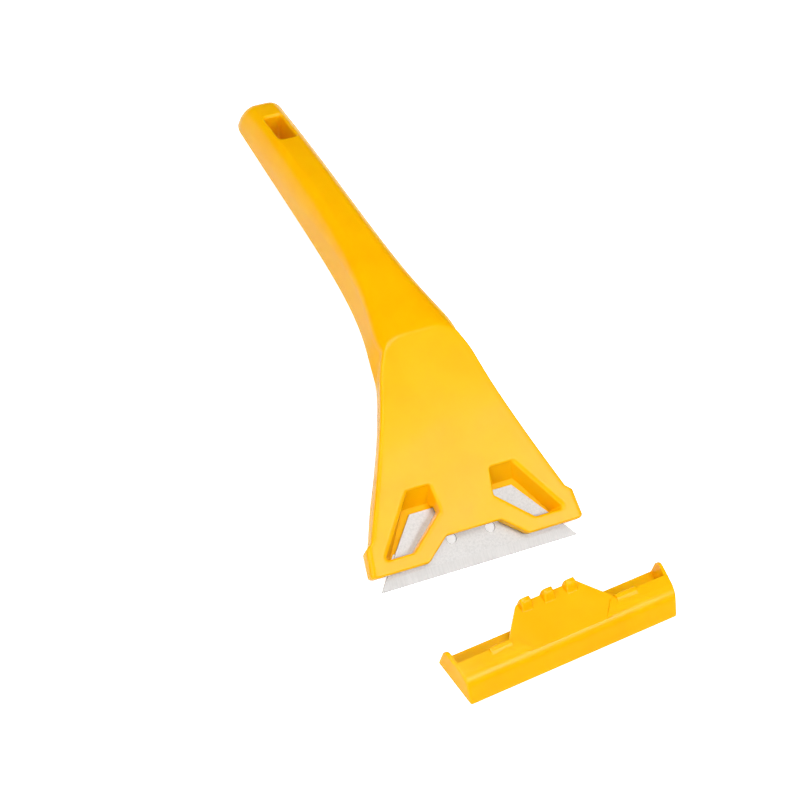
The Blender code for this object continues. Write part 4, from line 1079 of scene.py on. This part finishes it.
def blade_steel(colours):
    """Hardened carbon steel strip with a ground edge: pale, matt and finely speckled, darker on the grind.

    The specks are about 0.3 mm, from noise cells of 0.6 mm with finer ones in them. The grinding lines are
    0.15 mm, drawn at 0.35 mm so that they show. The grind is the band nearer the edge than 3 mm, from the
    distance (point - edge) . (direction up the blade).
    """
    material, tree = blank_material("ground carbon steel")
    coords = node(tree, "ShaderNodeTexCoord")
    frame_of_tool = tool_matrix()
    upward, origin = frame_of_tool[:3, 1], frame_of_tool[:3, 3]
    along = node(tree, "ShaderNodeVectorMath", {1: tuple(upward)}, {0: (coords, "Object")},
                 operation="DOT_PRODUCT")
    above = node(tree, "ShaderNodeMath", {1: float(origin @ upward)}, {0: (along, "Value")}, operation="SUBTRACT")
    ground = node(tree, "ShaderNodeMapRange",
                  {"From Min": GRIND_DEPTH - GRIND_SOFTNESS, "From Max": GRIND_DEPTH + GRIND_SOFTNESS,
                   "To Min": 1.0, "To Max": 0.0}, {"Value": (above, 0)}, clamp=True)
    grain = node(tree, "ShaderNodeTexNoise", {"Scale": 1 / STEEL_GRAIN, "Detail": 4.0, "Roughness": 0.7},
                 {"Vector": (coords, "Object")})
    face = ramp(tree, grain, "Fac", [(0.32, linear(colours.steel_dark)), (0.60, linear(colours.steel))])
    streaks = node(tree, "ShaderNodeMapping",
                   {"Scale": (1 / GRIND_LINE, 1 / GRIND_LINE_LENGTH, 1 / GRIND_LINE_LENGTH)},
                   {"Vector": (coords, "Object")})
    lines = node(tree, "ShaderNodeTexNoise", {"Scale": 1.0, "Detail": 3.0}, {"Vector": (streaks, "Vector")})
    bevel = ramp(tree, lines, "Fac", [(0.35, linear(colours.grind_dark)), (0.65, linear(colours.grind))])
    colour = node(tree, "ShaderNodeMix", {}, {0: (ground, "Result"), 6: (face, "Color"), 7: (bevel, "Color")},
                  data_type="RGBA")
    relief = node(tree, "ShaderNodeBump", {"Strength": 0.15, "Distance": GRIND_LINE_DEPTH},
                  {"Height": (lines, "Fac")})
    gloss = node(tree, "ShaderNodeMapRange",
                 {"From Min": 0.3, "From Max": 0.7, "To Min": colours.steel_roughness - STEEL_GLOSS_BELOW,
                  "To Max": colours.steel_roughness + STEEL_GLOSS_ABOVE}, {"Value": (grain, "Fac")})
    shader = node(tree, "ShaderNodeBsdfPrincipled", {"Metallic": 1.0},
                  {"Base Color": (colour, 2), "Roughness": (gloss, "Result"), "Normal": (relief, "Normal")})
    node(tree, "ShaderNodeOutputMaterial", links={"Surface": (shader, "BSDF")})
    return material


def sweep_paper(colours, glow):
    """Calendered paper sweep, matt and white, with clouds 0.4 m across that are barely seen.

    It keeps the object's soft shadow, and reads white to the camera through a glow that its matt light
    leaves out. Reflections see about a third of that glow, so that the gloss of the plastic stays yellow.
    """
    material, tree = blank_material("matt white paper")
    coords = node(tree, "ShaderNodeTexCoord")
    clouds = node(tree, "ShaderNodeTexNoise", {"Scale": 1 / PAPER_CLOUDS, "Detail": 2.0},
                  {"Vector": (coords, "Object")})
    white = linear(colours.floor)
    shaded = (*[v * PAPER_SHADE for v in white[:3]], 1.0)
    colour = ramp(tree, clouds, "Fac", [(0.3, white), (0.7, shaded)])
    paper = node(tree, "ShaderNodeBsdfDiffuse", {"Roughness": 0.8}, {"Color": (colour, "Color")})
    ray = node(tree, "ShaderNodeLightPath")
    mirrored = node(tree, "ShaderNodeMath", {1: MIRRORED_GLOW}, {0: (ray, "Is Glossy Ray")}, operation="MULTIPLY")
    seen = node(tree, "ShaderNodeMath", links={0: (ray, "Is Camera Ray"), 1: (mirrored, 0)}, operation="MAXIMUM")
    seen = node(tree, "ShaderNodeMath", links={0: (seen, 0), 1: (ray, "Is Transmission Ray")}, operation="MAXIMUM")
    power = node(tree, "ShaderNodeMath", {1: glow}, {0: (seen, 0)}, operation="MULTIPLY")
    light = node(tree, "ShaderNodeEmission", links={"Strength": (power, 0)})
    both = node(tree, "ShaderNodeAddShader", links={0: (paper, "BSDF"), 1: (light, "Emission")})
    node(tree, "ShaderNodeOutputMaterial", links={"Surface": (both, "Shader")})
    return material


def studio_world(stage):
    """A plain studio with a dark card behind the handle, so that the handle's front stays saturated.

    The card's edge is soft: the level rises from its dark to the sky's between two angles off its middle.
    """
    world = bpy.data.worlds.new("studio")
    world.use_nodes = True
    tree = world.node_tree
    tree.nodes.clear()
    coords = node(tree, "ShaderNodeTexCoord")
    towards = node(tree, "ShaderNodeVectorMath", {1: tuple(sphere_direction(*CARD_PLACE))},
                   {0: (coords, "Generated")}, operation="DOT_PRODUCT")
    level = node(tree, "ShaderNodeMapRange",
                 {"From Min": math.cos(math.radians(CARD_GONE)), "From Max": math.cos(math.radians(CARD_DARK)),
                  "To Min": stage.sky, "To Max": stage.card},
                 {"Value": (towards, "Value")}, clamp=True, interpolation_type="SMOOTHSTEP")
    glow = node(tree, "ShaderNodeBackground", {"Color": (1, 1, 1, 1)}, {"Strength": (level, "Result")})
    node(tree, "ShaderNodeOutputWorld", links={"Surface": (glow, "Background")})
    return world


# The studio
def photograph_camera():
    """The camera: it looks from its place at its aim, both in the tool's frame, turned as its up says."""
    eye, aim, up = (np.array(v) for v in (CAMERA_PLACE, CAMERA_AIM, CAMERA_UP))
    back = unit(eye - aim)
    right = unit(np.cross(up, back))
    local = np.eye(4)
    local[:3, :3] = np.stack([right, np.cross(back, right), back], 1)
    local[:3, 3] = eye
    lens = bpy.data.cameras.new("camera")
    lens.sensor_width = SENSOR_WIDTH
    lens.lens = FOCAL_PIXELS / IMAGE_SIDE * SENSOR_WIDTH
    lens.clip_start = CLIP_START
    camera = bpy.data.objects.new("camera", lens)
    camera.matrix_world = Matrix((tool_matrix() @ local).tolist())
    bpy.context.scene.collection.objects.link(camera)
    return camera


def sphere_direction(azimuth, elevation):
    """A direction as (cos e cos a, cos e sin a, sin e), from degrees."""
    a, e = math.radians(azimuth), math.radians(elevation)
    return np.array([math.cos(e) * math.cos(a), math.cos(e) * math.sin(a), math.sin(e)])


def soft_lamp(name, towards, sides, power):
    """A rectangular lamp at an azimuth, an elevation and a distance, aimed at the object's middle."""
    azimuth, elevation, distance = towards
    back = sphere_direction(azimuth, elevation)
    right = unit(np.cross([0, 0, 1.0], back))
    matrix = np.eye(4)
    matrix[:3, :3] = np.stack([right, np.cross(back, right), back], 1)
    matrix[:3, 3] = back * distance
    light = bpy.data.lights.new(name, "AREA")
    light.shape = "RECTANGLE"
    light.size, light.size_y = sides
    light.energy = power
    thing = bpy.data.objects.new(name, light)
    thing.matrix_world = Matrix(matrix.tolist())
    bpy.context.scene.collection.objects.link(thing)


# Operators
class SCRAPER_OT_stage(bpy.types.Operator):
    """Build the floor, the lamps, the world and the camera at the photograph's viewing angle"""
    bl_idname = "scraper.stage"
    bl_label = "Studio and camera"

    def execute(self, context):
        scene = context.scene
        stage = scene.scraper_stage
        side = stage.floor_side / 2
        corners = flat_ring(np.array([(-side, -side), (side, -side), (side, side), (-side, side)]), FLOOR_LEVEL)
        floor = mesh_object("floor", corners, [[0, 1, 2, 3]], sweep_paper(scene.scraper_colours, stage.floor_glow))
        scene.world = studio_world(stage)
        scene.view_settings.view_transform = "Standard"
        scene.camera = photograph_camera()
        for name, (towards, sides) in LAMPS.items():
            soft_lamp(f"{name} softbox", towards, sides, getattr(stage, f"{name}_power"))
        return {"FINISHED"}


class SCRAPER_OT_body(bpy.types.Operator):
    """Build the moulded body: handle, head, windows, lip recess, blade slot, hanging slot and hollow back"""
    bl_idname = "scraper.body"
    bl_label = "Moulded body"

    def execute(self, context):
        scene = context.scene
        body = Body(scene.scraper_head, scene.scraper_handle)
        piece = surface("body_moulding", body_rings(body))
        carve(piece, blade_slot_tools())
        carve(piece, [recess_tool(body), window_tool(body, -1), window_tool(body, 1), hanging_slot_tool(body)])
        carve(piece, core_tools(body))
        place(piece, tool_matrix())
        piece.data.materials.append(plastic(scene.scraper_colours))
        finish_shading(piece, BODY_EDGE_DEGREES)
        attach(piece, "tool")
        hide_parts("scraper_body")
        return {"FINISHED"}


class SCRAPER_OT_guard(bpy.types.Operator):
    """Build the slip-on blade guard that lies in front of the edge"""
    bl_idname = "scraper.guard"
    bl_label = "Blade guard"

    def execute(self, context):
        scene = context.scene
        piece = make_guard(scene.scraper_guard, plastic(scene.scraper_colours))
        points = np.empty(len(piece.data.vertices) * 3)
        piece.data.vertices.foreach_get("co", points)
        place(piece, guard_matrix(points.reshape(-1, 3)))
        finish_shading(piece, GUARD_EDGE_DEGREES)
        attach(piece, "guard")
        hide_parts("blade_guard")
        return {"FINISHED"}


class SCRAPER_OT_blade(bpy.types.Operator):
    """Give the steel blade its ground and speckled finish"""
    bl_idname = "scraper.blade"
    bl_label = "Blade finish"

    def execute(self, context):
        blade = frame["nodes"]["trapezoid_blade"]
        steel = blade_steel(context.scene.scraper_colours)
        for slot in blade.material_slots:
            slot.material = steel
        return {"FINISHED"}


def plastic(colours):
    """The one yellow plastic that both mouldings share."""
    found = bpy.data.materials.get("moulded yellow polypropylene")
    return found or polypropylene(colours)


class SCRAPER_PT_panel(bpy.types.Panel):
    """Lists the steps and sizes of the scraper"""
    bl_idname = "SCRAPER_PT_panel"
    bl_label = "Hand scraper"
    bl_space_type = "VIEW_3D"
    bl_region_type = "UI"
    bl_category = "Scraper"

    def draw(self, context):
        scene = context.scene
        for operator in OPERATORS:
            self.layout.operator(operator.bl_idname)
        for group in (scene.scraper_head, scene.scraper_handle, scene.scraper_guard, scene.scraper_colours,
                      scene.scraper_stage):
            box = self.layout.box()
            for key in group.__annotations__:
                box.prop(group, key)


GROUPS = {"scraper_head": ScraperHead, "scraper_handle": ScraperHandle, "scraper_guard": ScraperGuard,
          "scraper_colours": ScraperColours, "scraper_stage": ScraperStage}
OPERATORS = [SCRAPER_OT_stage, SCRAPER_OT_body, SCRAPER_OT_guard, SCRAPER_OT_blade]


def register():
    """Register the classes and hang the property groups on the scene."""
    for made in (*GROUPS.values(), *OPERATORS, SCRAPER_PT_panel):
        bpy.utils.register_class(made)
    for key, made in GROUPS.items():
        setattr(bpy.types.Scene, key, PointerProperty(type=made))


def unregister():
    """Take back what register did."""
    for key in GROUPS:
        delattr(bpy.types.Scene, key)
    for made in (SCRAPER_PT_panel, *OPERATORS[::-1], *GROUPS.values()):
        bpy.utils.unregister_class(made)


def main():
    """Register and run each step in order."""
    register()
    bpy.ops.scraper.stage()
    bpy.ops.scraper.body()
    bpy.ops.scraper.guard()
    bpy.ops.scraper.blade()
    bpy.context.view_layer.update()


if __name__ == "__main__":
    main()
